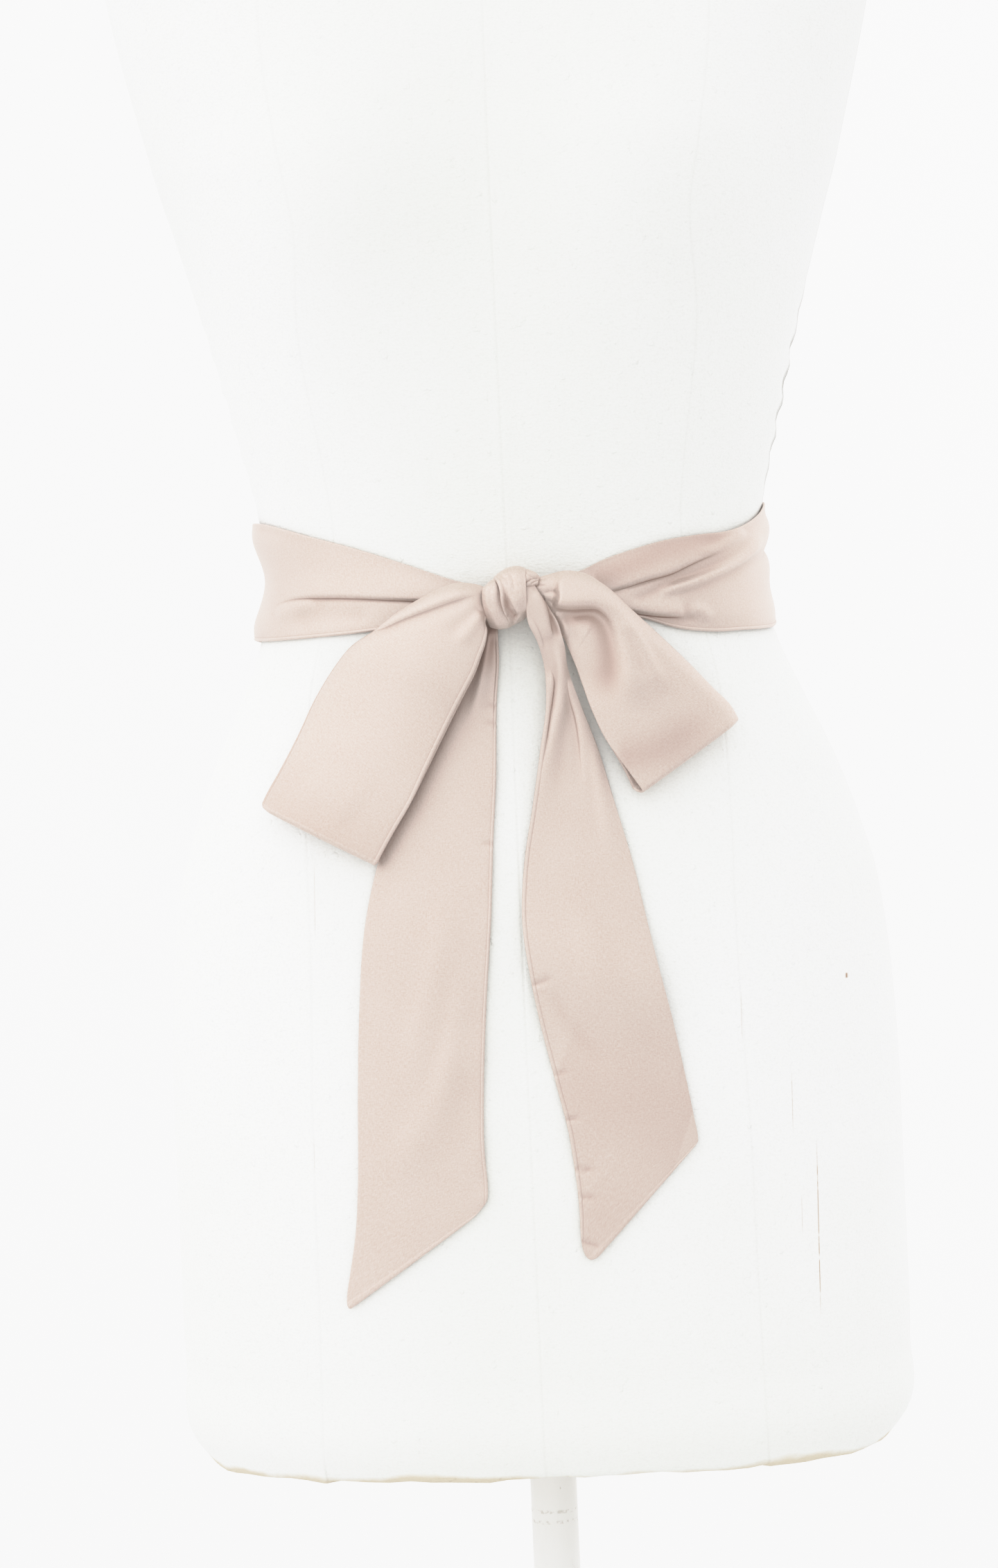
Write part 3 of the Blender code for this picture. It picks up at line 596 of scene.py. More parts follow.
# Sash: the wrap round the waist
# One long strip of silk satin, cut double and sewn into a tube 60 mm wide with its seam
# along one edge. It is drawn tight round the waist, and its fullness lies in tucks that
# run from under the bow towards the sides.

KNOT_Z = 1.014
STRIP_WIDTH = 60 * MM
HALF_WALL = 0.6 * MM
EDGE_ROUND = 1.0 / 60

# The kinds of crease, with sizes in millimetres and a line through (x, z) pairs
Ridge = namedtuple("Ridge", "height width_start width_end fade_in fade_out line")
# Painted shade: a band of darker, warmer colour along a line, which raises nothing
Tint = namedtuple("Tint", "height width_start width_end fade_in fade_out line")
Lap = namedtuple("Lap", "height width_start width_end reach fade_in fade_out line")


def run_along(path):
    """Distance along a path at each of its points."""
    return np.concatenate([[0], np.cumsum(np.linalg.norm(np.diff(path, axis=0), axis=1))])


def from_line(x, z, line):
    """Distance of points from a line through (x, z) pairs, and their share of its length.

    Points left of the line's direction, as seen from the front, have a positive distance.
    """
    path = np.array(line, float) * MM
    path[:, 1] += KNOT_Z
    if len(line) > 2:
        run = run_along(path)
        path = smooth(run / run[-1], path, np.linspace(0, 1, 33))
    step, run = np.diff(path, axis=0), run_along(path)
    size = np.linalg.norm(step, axis=1)
    best, away, share = np.full(x.shape, 1e9), np.zeros(x.shape), np.zeros(x.shape)
    for k in range(len(step)):
        right, up = x - path[k, 0], z - path[k, 1]
        t = np.clip((right * step[k, 0] + up * step[k, 1]) / size[k] ** 2, 0, 1)
        gap = np.hypot(right - t * step[k, 0], up - t * step[k, 1])
        side = np.where(step[k, 0] * up - step[k, 1] * right >= 0, 1, -1)
        closer = gap < best
        best = np.where(closer, gap, best)
        away = np.where(closer, gap * side, away)
        share = np.where(closer, (run[k] + t * size[k]) / run[-1], share)
    return away, share


def crease_lift(x, z, creases):
    """How far the creases raise the cloth towards the front, and the marks that they leave.

    A ridge is a bell across its line. A lap stands proud left of its line, drops sharply
    across it and eases back to nothing within its reach. A shade band raises nothing: it is
    a bell of painted shade, the warmer, darker tone that cloth takes in its neighbours' shade.
    Widths grow along the line with the square of its share, and every kind fades in and out
    along it. Of the marks, one holds the painted shade of the bands, "fold" the distance in
    millimetres from the nearest sharp lap's line, positive on its proud side, and one how
    strong the painted shadow along that line is there.
    """
    lift, shade_amount, fold, lap_shadow_depth = (np.full(x.shape, start) for start in (0.0, 0.0, 9.0, 0.0))
    for crease in creases:
        away, share = from_line(x, z, crease.line)
        width = (crease.width_start + (crease.width_end - crease.width_start) * share**2) * MM
        ease_in = np.clip(share / max(crease.fade_in, 1e-6), 0, 1)
        ease_out = np.clip((1 - share) / max(crease.fade_out, 1e-6), 0, 1)
        fade = (3 - 2 * ease_in) * ease_in**2 * (3 - 2 * ease_out) * ease_out**2
        # A band of painted shade
        if isinstance(crease, Tint):
            shade_amount += crease.height * fade * bell(away / width)
        elif isinstance(crease, Ridge):
            lift += crease.height * MM * fade * bell(away / width)
        else:
            proud = (0.5 + 0.5 * np.tanh(away / width)) * bell(np.clip(away, 0, None) / (crease.reach * MM))
            dip = 0.25 * bell((away + 1.5 * width) / (2.5 * width))
            lift += crease.height * MM * fade * (proud - dip)
            # How strong the painted shadow along a sharp lap's line is
            near = np.clip(1 - np.abs(away) / (4 * MM), 0, 1)
            depth = fade * near * np.clip(crease.height / 2, 0, 1) * np.clip(1.7 - width / MM, 0, 1)
            fold = np.where(depth > lap_shadow_depth, away / MM, fold)
            lap_shadow_depth = np.maximum(depth, lap_shadow_depth)
    return lift, {"painted_shade": shade_amount, "fold": fold, "lap_shadow_depth": lap_shadow_depth}


HOLLOW_PASSES = 40
# Painted shade: how strongly a millimetre of hollow darkens the satin's colour
HOLLOW_SHADE = 0.33
HEM_ROLL, HEM_GROOVE, HEM_GROOVE_WIDTH = 0.16 * MM, 0.18 * MM, 0.35 * MM


def hollows(lift):
    """Depth of the hollows in a grid of lifts, in millimetres: a softened copy less the lift."""
    soft = lift
    for _ in range(HOLLOW_PASSES):
        framed = np.pad(soft, 1, mode="edge")
        soft = (framed[:-2, 1:-1] + framed[2:, 1:-1] + framed[1:-1, :-2] + framed[1:-1, 2:] + 4 * soft) / 8
    return np.clip(soft - lift, 0, None) / MM


def spaced(count, edge):
    """Shares from 0 to 1, evenly spaced but for closer ones in the first three edges' width."""
    near = np.array([0, 0.05, 0.2, 0.45, 0.75, 1.0, 1.3, 1.6, 1.9, 2.2, 2.6, 3.2]) * edge
    return np.concatenate([near, np.linspace(near[-1], 1 - near[-1], count)[1:-1], 1 - near[::-1]])


def rounded(share, edge):
    """Quarter-circle rise from 0 at both ends of a share to 1 within edge of them."""
    near = np.clip(np.minimum(share, 1 - share) / edge, 0, 1)
    return np.sqrt(1 - (1 - near) ** 2)


def hem_relief(distance, seam_at):
    """Half the extra thickness at a sewn edge: a roll, then the seam's groove at seam_at."""
    roll = HEM_ROLL * bell(((distance - 0.45 * seam_at) / (0.55 * seam_at)) ** 2)
    return roll - HEM_GROOVE * bell((distance - seam_at) / HEM_GROOVE_WIDTH)


def cloth_wall(name, middle, half, uv, marks, closed=False):
    """Closed wall of cloth: two skins at half a thickness from a middle surface.

    half is the half thickness at each point, and it is 0 along the open edges, where the
    two skins share their points. closed joins the last row to the first.
    """
    rows, columns = middle.shape[:2]
    along = np.gradient(middle, axis=0)
    if closed:
        along = np.roll(middle, -1, axis=0) - np.roll(middle, 1, axis=0)
    normal = np.cross(along, np.gradient(middle, axis=1))
    normal /= np.linalg.norm(normal, axis=2, keepdims=True) + 1e-12
    offset = normal * half[:, :, None]
    points = np.concatenate([(middle + offset).reshape(-1, 3), (middle - offset).reshape(-1, 3)])
    front = quads(rows, columns, round_rows=closed)
    faces = np.concatenate([front, front[:, ::-1] + rows * columns])
    uv = np.concatenate([uv.reshape(-1, 2)] * 2)
    marks = {label: np.concatenate([values.ravel()] * 2) for label, values in marks.items()}
    piece = add_piece(name, points, faces, satin, uv, marks)
    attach(piece, "root")
    return piece


# Satin: champagne pink, with a soft sheen that is broken up by the grain of the weave. The
# pattern lies in the cloth's own coordinates, which run across and along the strip.
SATIN_LOW, SATIN_HIGH, THREAD_LIGHT = (0.582, 0.469, 0.413), (0.602, 0.495, 0.441), (0.70, 0.615, 0.57)
PAINTED_SHADE_TONE, LAP_SHADOW_TONE = (0.33, 0.195, 0.15), (0.26, 0.15, 0.115)
SEAM_GROOVE_SHADE, SEAM_STRIP = (0.30, 0.18, 0.14), (0.70, 0.61, 0.56)

satin, paint, shader = new_material("champagne_satin")
cloth = paint.new("TexCoord", {}, "UV")
threads = paint.plus(paint.noise(cloth, 1900, 2, (1.0, 0.30, 1)), paint.noise(cloth, 1700, 2, (0.35, 1.0, 1)))
slub = paint.noise(cloth, 1250, 2)
tone = paint.between(paint.noise(cloth, 45, 3), 0.3, 0.7)
colour = paint.mix(tone, SATIN_LOW, SATIN_HIGH)
grain = paint.plus(threads, slub)
colour = paint.mix(paint.times(paint.between(grain, 1.1, 1.9), 0.8), colour, THREAD_LIGHT)

# Painted shade: hollows and the shade bands of the crease tables are darkened to a warmer
# tone, as in the shade of the cloth beside them. Painted shadow: a lap's line is a dark line,
# crisp on its low side, that dies out within two millimetres. Painted shade: a seam's
# groove is a thin dark line, a little broken
colour = paint.mix(paint.mark("painted_shade"), colour, PAINTED_SHADE_TONE)
# Painted shadow: a dark line on the low side of each sharp lap
fold = paint.mark("fold")
below = paint.math("POWER", paint.between(fold, -2.2, 0.0), 3.0)
line = paint.times(paint.times(below, paint.between(fold, 0.16, -0.02)), paint.mark("lap_shadow_depth"))
colour = paint.mix(paint.times(line, 0.85), colour, LAP_SHADOW_TONE)
# Painted shade: a thin dark line, a little broken, in the seam's groove
seam = paint.mark("seam")
seam_groove_shade = paint.between(paint.math("ABSOLUTE", seam), 0.24, 0.05)
seam_groove_shade = paint.times(seam_groove_shade, paint.between(slub, 0.3, 0.6, 0.12, 0.40))
colour = paint.mix(seam_groove_shade, colour, SEAM_GROOVE_SHADE)
colour = paint.mix(paint.times(paint.between(seam, 0.1, 0.5), 0.16), colour, SEAM_STRIP)
paint.feed(shader, {"Base Color": colour, "Normal": paint.bump(grain, 0.09 * MM, 0.7)})
paint.feed(shader, {"Roughness": paint.between(threads, 0.7, 1.3, 0.34, 0.46)})
paint.feed(shader, {"Metallic": 0.36, "Specular IOR Level": 0.95, "Sheen Weight": 0.26})
paint.feed(shader, {"Sheen Roughness": 0.35, "Sheen Tint": (1.0, 0.94, 0.90, 1)})

WrapRow = namedtuple("WrapRow", "angle top bottom lift")

# Angles are degrees from the front towards +X, top and bottom are above the waist
WAIST_WRAP = [
    WrapRow(4.9, -9, -25, 2.4),
    WrapRow(9, -7.4, -25, 2.8),
    WrapRow(14.5, -4.6, -25, 3.2),
    WrapRow(19, -0.6, -25.5, 3.2),
    WrapRow(26.5, 4, -27, 3.2),
    WrapRow(35, 7.9, -32, 3.4),
    WrapRow(45, 10.4, -34, 3.6),
    WrapRow(56, 12.3, -33.4, 3.6),
    WrapRow(66, 16, -32.6, 3.6),
    WrapRow(77, 21.5, -31.2, 3.4),
    WrapRow(90, 28.6, -28, 3.2),
    WrapRow(115, 29, -29, 2),
    WrapRow(150, 30, -29, 1.8),
    WrapRow(180, 30, -29, 1.8),
    WrapRow(210, 30, -29, 1.8),
    WrapRow(245, 29.5, -28, 2),
    WrapRow(270, 29.8, -26, 3.4),
    WrapRow(292, 26, -28, 2.4),
    WrapRow(313, 17.4, -28.6, 1.8),
    WrapRow(328, 9.4, -28, 1.8),
    WrapRow(340, 1.2, -26.4, 1.8),
    WrapRow(350, -6.6, -25, 1.8),
    WrapRow(354.7, -9.6, -24.4, 2),
]
WAIST_CREASES = [
    Lap(1.9, 0.5, 0.5, 10, 0.3, 0.05, [(-112, 3.6), (-105, 5.6), (-96, 6.3), (-87.4, 5.8), (-76.3, 4.9),
          (-57.4, 2.9), (-40, 1), (-18, -1.8)]),
    Ridge(1.3, 3.4, 4.4, 0.2, 0.3, [(-88, 3), (-99, 2), (-110, -2.5)]),
    Ridge(-0.8, 5, 8, 0.2, 0.3, [(-60, -5), (-85, -3.5), (-108, -6.5)]),
    Lap(2.6, 0.5, 0.5, 9, 0.35, 0.34, [(40, -0.4), (52.9, 3.3), (61, 5.8), (74.7, 9.6), (80.9, 12.6),
          (86.5, 15), (98, 19.6)]),
    Tint(0.34, 5.5, 6.5, 0.02, 0.3, [(38, 6.5), (56, 13), (76, 20), (96, 25.5), (112, 31)]),
    Tint(0.16, 4, 6, 0.05, 0.3, [(46, -9), (60, -12), (74, -13), (84, -12)]),
    Ridge(-0.8, 2.2, 4, 0.1, 0.3, [(54, -4), (67.4, 1.4), (77.4, 6.7), (85.7, 9.4), (94.2, 12.8),
          (104.6, 18.1)]),
    Ridge(2.8, 1.9, 2.2, 0.2, 0.2, [(65.1, -1.8), (73.9, 1.8), (82.7, 4.6), (91.1, 7.9), (99.7, 11.9),
          (107.4, 17), (113.1, 22.5), (116.9, 29.5)]),
    Ridge(1.3, 1.8, 2.4, 0.3, 0.2, [(84, 16.5), (94, 20), (103, 24.5), (111, 30)]),
    Lap(2.2, 0.45, 0.6, 6, 0.02, 0.2, [(48, -6.6), (54.3, -8), (63.1, -9.6), (72.2, -10.6), (80, -10.8)]),
    Ridge(-1.4, 2.2, 3, 0.3, 0.3, [(72, -13.4), (80, -13.2), (87, -11)]),
    Ridge(0.9, 2.6, 2.6, 0.3, 0.3, [(80, -8), (87, -9), (90, -14)]),
]
# Scallops of the silhouette at the sides: angle, share from the top edge, height, spreads
SIDE_WAVES = [
    (268, 0.08, 2.2, 20, 0.20), (268, 0.50, -2.4, 18, 0.18), (268, 0.93, 2.4, 18, 0.17),
    (92, 0.0, -1.4, 16, 0.12), (92, 0.22, 1.6, 18, 0.11), (92, 0.38, -1.6, 16, 0.05),
    (92, 0.52, 1.5, 18, 0.12), (92, 0.95, 0.6, 18, 0.14),
]
WAIST_STEPS, WAIST_COLUMNS = 380, 66
WAIST_RADIUS = 0.105
SEAM_INSET_MM = 1.6
HEM_LIFT, HEM_PRESSED, HEM_REACH = 1.35 * MM, 1.9 * MM, 6 * MM

table = np.array(WAIST_WRAP, float)
even = np.linspace(-1, 1, WAIST_STEPS)
eased = np.abs(even) ** 1.25 * np.sign(even)
first_angle, last_angle = table[0, 0], table[-1, 0]
angle = 180 + eased * (last_angle - first_angle) / 2 + (last_angle + first_angle - 360) / 2
close = np.array([0, 0.02, 0.08, 0.2, 0.5])
first_rows = angle[:1] + (angle[1] - angle[0]) * close
last_rows = angle[-1:] - (angle[-1] - angle[-2]) * close[::-1]
angle = np.concatenate([first_rows, angle[1:-1], last_rows])
top_edge, bottom_edge, lift = smooth(table[:, 0], table[:, 1:] * MM, angle).T[:, :, None]
width = np.abs(bottom_edge - top_edge)
across = spaced(WAIST_COLUMNS, EDGE_ROUND)[None, :]
z = WAIST_HEIGHT + top_edge + (bottom_edge - top_edge) * across
turn = np.radians(angle)[:, None] + 0 * across
base = form_point(turn, z, lift + 0 * across)
in_front = np.cos(turn) > 0.0
rise, marks = crease_lift(base[:, :, 0], z, WAIST_CREASES)
lift = lift + np.where(in_front, rise, 0)
for at_angle, at_share, wave_height, spread, wide in SIDE_WAVES:
    wave = bell((angle[:, None] - at_angle) / spread) * bell((across - at_share) / wide)
    lift = lift + wave_height * MM * wave
edge_gap = np.minimum(across, 1 - across) * width
lift = lift - np.clip(lift - HEM_LIFT, 0, HEM_PRESSED) * bell(edge_gap / HEM_REACH)
behind = np.clip(-np.cos(turn), 0, 1)
lift = lift + 0.5 * MM * behind * (np.sin(across * 9 + turn * 2.2) + 1)
ends = np.clip(np.minimum(angle - angle[0], angle[-1] - angle) / 0.6, 0, 1)[:, None]
from_hem = (1 - across) * width
half = HALF_WALL + hem_relief(from_hem, SEAM_INSET_MM * MM)
half = half * rounded(across, EDGE_ROUND) * np.sqrt(1 - (1 - ends) ** 2)
marks["lap_shadow_depth"] = np.where(in_front, marks["lap_shadow_depth"], 0)
marks["seam"] = SEAM_INSET_MM - from_hem / MM
# Painted shade in the wrap's hollows and along its shade bands
marks["painted_shade"] = np.clip(np.where(in_front, marks["painted_shade"], 0) + hollows(lift) * HOLLOW_SHADE, 0, 0.5)
uv = np.stack([across * width, turn * WAIST_RADIUS], -1)
waist = cloth_wall("belt_wrap", form_point(turn, z, lift), half, uv, marks)
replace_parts(waist, "waist_wrap")

# Sash: the knot
# The two ends cross and tuck through, so three turns of the strip show, each gathered to
# a quarter of its width. The layers inside them are wound into one round lump.

KnotTurn = namedtuple("KnotTurn", "middle edges above below depth")

# A turn's left and right edges, each at its top, front and bottom, then the heights of its
# outline above and below its middle at the left, the centre and the right, and its depth
# in front of the knot's axis at four places from left to right
KNOT_CENTRE_LIFT = 11.0 * MM
KNOT_UV_WIDTH, KNOT_UV_RADIUS = 0.016, 0.010
LEFT_TURN = KnotTurn(
    0, [(-10.4, -11.2, -8.8), (-3.4, -1.2, 3.0)], (4.0, 7.4, 8.6), (12.0, 13.6, 11.4), (4.4, 7.4, 7.8, 7.0)
)
FRONT_TURN = KnotTurn(
    0, [(-5.8, -2.9, 0.4), (8.6, 8.6, 8.4)], (8.4, 12.9, 12.2), (12.4, 10.9, 8.4), (9.9, 10.2, 10.0, 8.4)
)
TUCK_TURN = KnotTurn(
    6, [(6.4, 6.4, 6.6), (14.6, 14.0, 12.6)], (5.6, 5.2, 2.0), (3.0, 2.4, 1.2), (5.0, 5.6, 5.0, 3.0)
)
CORE_HALF = (8.4, 5.6, 7.4)
CORE_SHIFT = -0.8 * MM
CORE_SIDES, CORE_RINGS = 48, 30
CORE_UV_RADIUS = 0.008
FRONT_TURN_CREASES = [
    Ridge(0.7, 0.6, 0.6, 0.1, 0.1, [(-4.9, 8.3), (-3.3, 6), (-2.3, 2.6), (-2.2, -2.3), (-1.8, -6.8),
          (-0.4, -9.6)]),
    Ridge(-1.9, 1.6, 2.3, 0.6, 0.06, [(-1.6, 6.5), (-0.6, 1.3), (-0.2, -2.4), (0.4, -6.1), (1.8, -8.8),
          (3.8, -10.4)]),
    Tint(0.45, 1.2, 2.4, 0.5, 0.1, [(-1.4, 4), (-0.6, 1.3), (-0.2, -2.4), (0.6, -6.1), (2, -8.8),
          (3.8, -10.4)]),
    Lap(0.5, 0.5, 0.5, 3.2, 0.5, 0.2, [(0.6, 1), (1.6, -1.4), (2.6, -3.8), (3.6, -6.2), (4.8, -8.6)]),
    Ridge(-0.5, 1, 1, 0.3, 0.3, [(1.5, 11), (3, 6), (3.4, 1)]),
    Ridge(0.3, 0.9, 0.9, 0.3, 0.3, [(4.8, 11), (6.2, 5), (6.4, -4)]),
    Ridge(-0.4, 0.8, 0.8, 0.3, 0.3, [(-2.5, 9.6), (0.2, 7), (1.2, 3.6)]),
]
LEFT_TURN_CREASES = [
    Ridge(-0.5, 1.1, 1.1, 0.3, 0.3, [(-7.2, 6.5), (-7.6, 0), (-6.4, -7)]),
    Ridge(0.4, 1.3, 1.3, 0.3, 0.3, [(-5.2, 5), (-5.6, -3), (-3.4, -10)]),
]
TUCK_CREASES = [
    Ridge(-1.3, 0.6, 0.5, 0.05, 0.05, [(7.6, 5.6), (9.4, 6.5), (11.4, 7.5), (15, 8.1)]),
    Ridge(-0.7, 0.5, 0.5, 0.05, 0.3, [(10.4, 5.2), (12, 6), (14.4, 7)]),
    Ridge(0.5, 0.8, 0.8, 0.2, 0.2, [(8.2, 9), (11.2, 9.8), (14, 9)]),
    Ridge(-0.4, 0.5, 0.5, 0.2, 0.2, [(8.2, 10.4), (10.4, 8.6), (12.4, 8.2)]),
]
TURN_STEPS, TURN_COLUMNS = 240, 56
TURN_EDGE_ROUND = 1.0 / 16
NO_SEAM = -9.0
SURFACE_AT_KNOT = form_front(np.array([0.0]), np.array([KNOT_Z]))[0]


def knot_turn(name, node, shape, creases):
    """Ring of cloth round the knot's axis, which runs from left to right.

    Angle 0 is its top and 90 degrees its front. The edges go from the front's place to
    the top's or the bottom's with the square of the cosine. Its outline is a parabola
    through three heights, and the creases raise the cloth away from the axis.
    """
    angle = np.linspace(0, 2 * math.pi, TURN_STEPS, endpoint=False)[:, None]
    across = spaced(TURN_COLUMNS, TURN_EDGE_ROUND)[None, :]
    up = np.cos(angle)
    left, right = (
        (front + (np.where(up > 0, top, bottom) - front) * up**2) * MM
        for top, front, bottom in shape.edges
    )
    x = left + (right - left) * across
    weights = (1 - across) * (1 - 2 * across), 4 * across * (1 - across), across * (2 * across - 1)
    above, below = (sum(h * w for h, w in zip(part, weights)) for part in (shape.above, shape.below))
    rise = (above * (1 + up) + below * (1 - up)) / 2 * MM
    depth = smooth([0, 0.25, 0.6, 1], np.array(shape.depth)[:, None] * MM, across[0]).T
    z = KNOT_Z + shape.middle * MM + rise * up
    relief, marks = crease_lift(x, z, creases)
    ahead = np.clip(np.sin(angle) * 2, 0, 1)
    relief = relief * ahead + 0.05 * MM * np.sin(across * 19 + 1.5 * np.sin(angle)) * rounded(across, 0.1)
    out = KNOT_CENTRE_LIFT + (depth + relief) * np.sin(angle)
    middle = np.stack([x, SURFACE_AT_KNOT - out, z + relief * up], axis=-1)
    half = HALF_WALL * rounded(across, TURN_EDGE_ROUND) + 0 * angle
    uv = np.stack([(across + 0 * angle) * KNOT_UV_WIDTH, (angle + 0 * across) * KNOT_UV_RADIUS], -1)
    marks["lap_shadow_depth"] = marks["lap_shadow_depth"] * ahead
    # Painted shade in the knot's hollows, stronger than elsewhere, and along its shade bands
    marks["painted_shade"] = np.clip(marks["painted_shade"] * ahead + hollows(relief) * 1.8 * HOLLOW_SHADE, 0, 0.6)
    marks["seam"] = np.full(x.shape, NO_SEAM)
    piece = cloth_wall(name, middle, half, uv, marks, closed=True)
    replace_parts(piece, node)


knot_turn("knot_front", "knot_turn_front", FRONT_TURN, FRONT_TURN_CREASES)
knot_turn("knot_left", "knot_turn_left", LEFT_TURN, LEFT_TURN_CREASES)
knot_turn("knot_tucked_end", "knot_tuck", TUCK_TURN, TUCK_CREASES)

# The lump of hidden layers: an egg with shallow gathers round its axis
turn = np.linspace(0, 2 * math.pi, CORE_SIDES, endpoint=False)[None, :]
rise = np.linspace(0, math.pi, CORE_RINGS)[:, None]
gather = 1 + 0.03 * np.sin(9 * turn) * np.sin(rise)
out = np.sin(rise) * gather
core = np.stack([out * np.cos(turn), out * np.sin(turn), np.cos(rise) + 0 * turn], axis=-1)
core_middle = np.array([CORE_SHIFT, SURFACE_AT_KNOT - KNOT_CENTRE_LIFT, KNOT_Z + CORE_SHIFT])
core = (core * np.array(CORE_HALF) * MM + core_middle).reshape(-1, 3)
core_uv = np.stack([turn + 0 * rise, rise + 0 * turn], -1).reshape(-1, 2) * CORE_UV_RADIUS
core_faces = quads(CORE_RINGS, CORE_SIDES, round_columns=True)
lump = add_piece("knot_lump", core, core_faces, satin, core_uv, {"seam": np.full(len(core), NO_SEAM)})
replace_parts(lump, "knot_core")
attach(lump, "root")

# Sash: the two loops of the bow
# Each loop is the strip led out of the knot, folded back on itself at its far end and
# tucked in again behind. It stands clear of the form on the knot's thickness. Edge A is
# the upper, outer edge and edge B the lower, inner one, where the seam runs.

Row = namedtuple("Row", "ax az bx bz lift_a lift_b crown")
LoopShape = namedtuple("LoopShape", "throat_gap belly_gap fold_gap shift_x shift_z shift_power")

LEFT_LOOP = [
    Row(-8.9, 3.6, -8.9, -7, 12.4, 12.4, 0.7),
    Row(-12.4, 5.8, -10.8, -10.8, 12.6, 13.8, 1.2),
    Row(-20, 7.3, -10, -14.8, 12.6, 15, 3),
    Row(-30.6, 5.2, -10.8, -20, 13, 16, 3.5),
    Row(-40, 0.9, -13.2, -26, 13, 16, 4),
    Row(-50, -4.4, -16.4, -33.5, 13, 15.5, 4.5),
    Row(-61, -12, -21.6, -42.5, 13, 14.5, 4.5),
    Row(-71.5, -18.3, -27.6, -53, 13, 12.2, 4),
    Row(-79, -26.5, -33.5, -64, 12.6, 11.4, 3),
    Row(-88.8, -41, -40, -76.5, 12.6, 10.6, 2),
    Row(-98.1, -59.2, -47, -90, 13, 9.9, 1.4),
    Row(-106.6, -74, -55, -102.5, 13, 9.2, 1),
    Row(-112.8, -84, -60.5, -111.5, 13, 8.7, 0.6),
    Row(-114.6, -87.4, -62.4, -114.9, 13, 8.5, 0.4),
]
LEFT_LOOP_SHAPE = LoopShape(3.6, 6.6, 4.4, -1.2, 0.8, 0.8)
LEFT_LOOP_CREASES = [
    Lap(2.4, 1.2, 1.4, 7, 0.25, 0.2, [(-66.9, -13.8), (-57, -11.3), (-47.2, -7.6), (-35.5, -4),
          (-24, -0.6), (-12, 2)]),
    Ridge(-0.8, 4, 2, 0.4, 0.1, [(-30, -18), (-20, -10), (-12, -4)]),
    Ridge(0.8, 3, 1.5, 0.4, 0.1, [(-24, -22), (-17, -14), (-11, -6.5)]),
    Ridge(0.7, 10, 12, 0.3, 0.3, [(-95, -75), (-70, -95)]),
    Tint(0.13, 22, 22, 0, 0, [(-120, -92), (-56, -124)]),
]
RIGHT_LOOP = [
    Row(10.4, 6.4, 11.2, 4.2, 13, 12.6, 0.3),
    Row(14.4, 8, 14.4, -2.6, 13.2, 12, 1.4),
    Row(18.6, 9.2, 17.2, -8, 12.8, 11, 2.5),
    Row(25.7, 10.6, 20, -12, 13, 10.5, 3.5),
    Row(34.4, 9.3, 22.4, -16, 13, 10.2, 4),
    Row(41.2, 5.2, 24.8, -20.5, 13, 10, 4),
    Row(47, 0.5, 26.8, -26, 13, 9.8, 4),
    Row(54.6, -7.4, 29, -32, 13, 9.8, 4),
    Row(65, -17.6, 31.4, -40, 13, 9.6, 4),
    Row(78.6, -31.4, 35.6, -53, 13, 9.6, 3.5),
    Row(90.4, -44.4, 41.6, -66.5, 13, 9.4, 2.2),
    Row(97.8, -52.4, 50.6, -80.2, 13, 9, 1),
    Row(100.7, -58, 55.8, -88, 13, 8.8, 0.5),
]
RIGHT_LOOP_SHAPE = LoopShape(3.4, 4.6, 4.2, -4.0, 0.6, 7.0)
RIGHT_LOOP_CREASES = [
    Lap(4.6, 1.6, 8, 13, 0.06, 0.25, [(19.3, -5), (22.6, -5.6), (27.6, -6.2), (33.9, -6.2), (39.4, -6.6),
          (43.6, -10), (46.6, -16.2), (48.2, -24), (48.8, -31.9), (48.4, -39.8), (46, -53)]),
    Ridge(-1.5, 3, 8, 0.15, 0.3, [(22, -7.6), (29, -8.8), (36.4, -8.8), (41.6, -12.2), (44.4, -18.5),
          (45.8, -26), (46.2, -34), (45.2, -44), (42, -55)]),
    Lap(1.1, 0.5, 1, 5, 0.06, 0.4, [(21, -5.4), (27.6, -6.5), (34, -6.5), (39.8, -7), (43.9, -10.4),
          (46.8, -16.4)]),
    Tint(0.42, 2.4, 8.5, 0.08, 0.3, [(22, -9.6), (29, -11), (36.4, -12), (40.4, -16), (42.4, -22.5),
          (43.4, -30), (43, -38), (41, -50)]),
    Ridge(1.3, 2.4, 4, 0.2, 0.3, [(50, -9), (54, -16.4), (58.4, -23.6), (62, -31.7), (65.6, -39),
          (69, -47)]),
    Tint(0.26, 8, 9, 0.1, 0.5, [(44, -74), (60, -72), (78, -64), (96, -54)]),
    Ridge(-0.7, 3, 4, 0.3, 0.3, [(50, -14), (54, -23), (57, -32), (60, -41)]),
    Ridge(-0.6, 1, 1, 0.15, 0.2, [(15.8, 0.6), (18.9, 1.5), (21.7, 0.9), (22.9, -0.9), (21.8, -3),
          (19.2, -4.8)]),
    Ridge(0.4, 1.4, 1.4, 0.1, 0.2, [(16.2, -1), (18.9, -0.7), (20.6, -1.6), (19.4, -3.2)]),
    Ridge(0.7, 1.4, 1.8, 0.1, 0.3, [(20.4, -7.9), (23.6, -10.4), (25, -14), (25.4, -19.5)]),
    Ridge(-0.6, 1.6, 3, 0.1, 0.4, [(22.5, -9.8), (27.5, -13.6), (29.4, -19), (30.4, -27)]),
    Ridge(-0.5, 0.5, 0.8, 0.2, 0.3, [(11.4, 5.8), (14.4, 6.6), (18.6, 7.4)]),
    Ridge(-0.5, 0.5, 0.9, 0.2, 0.3, [(11.6, 5.2), (14.6, 4.6), (18.4, 4.2)]),
]
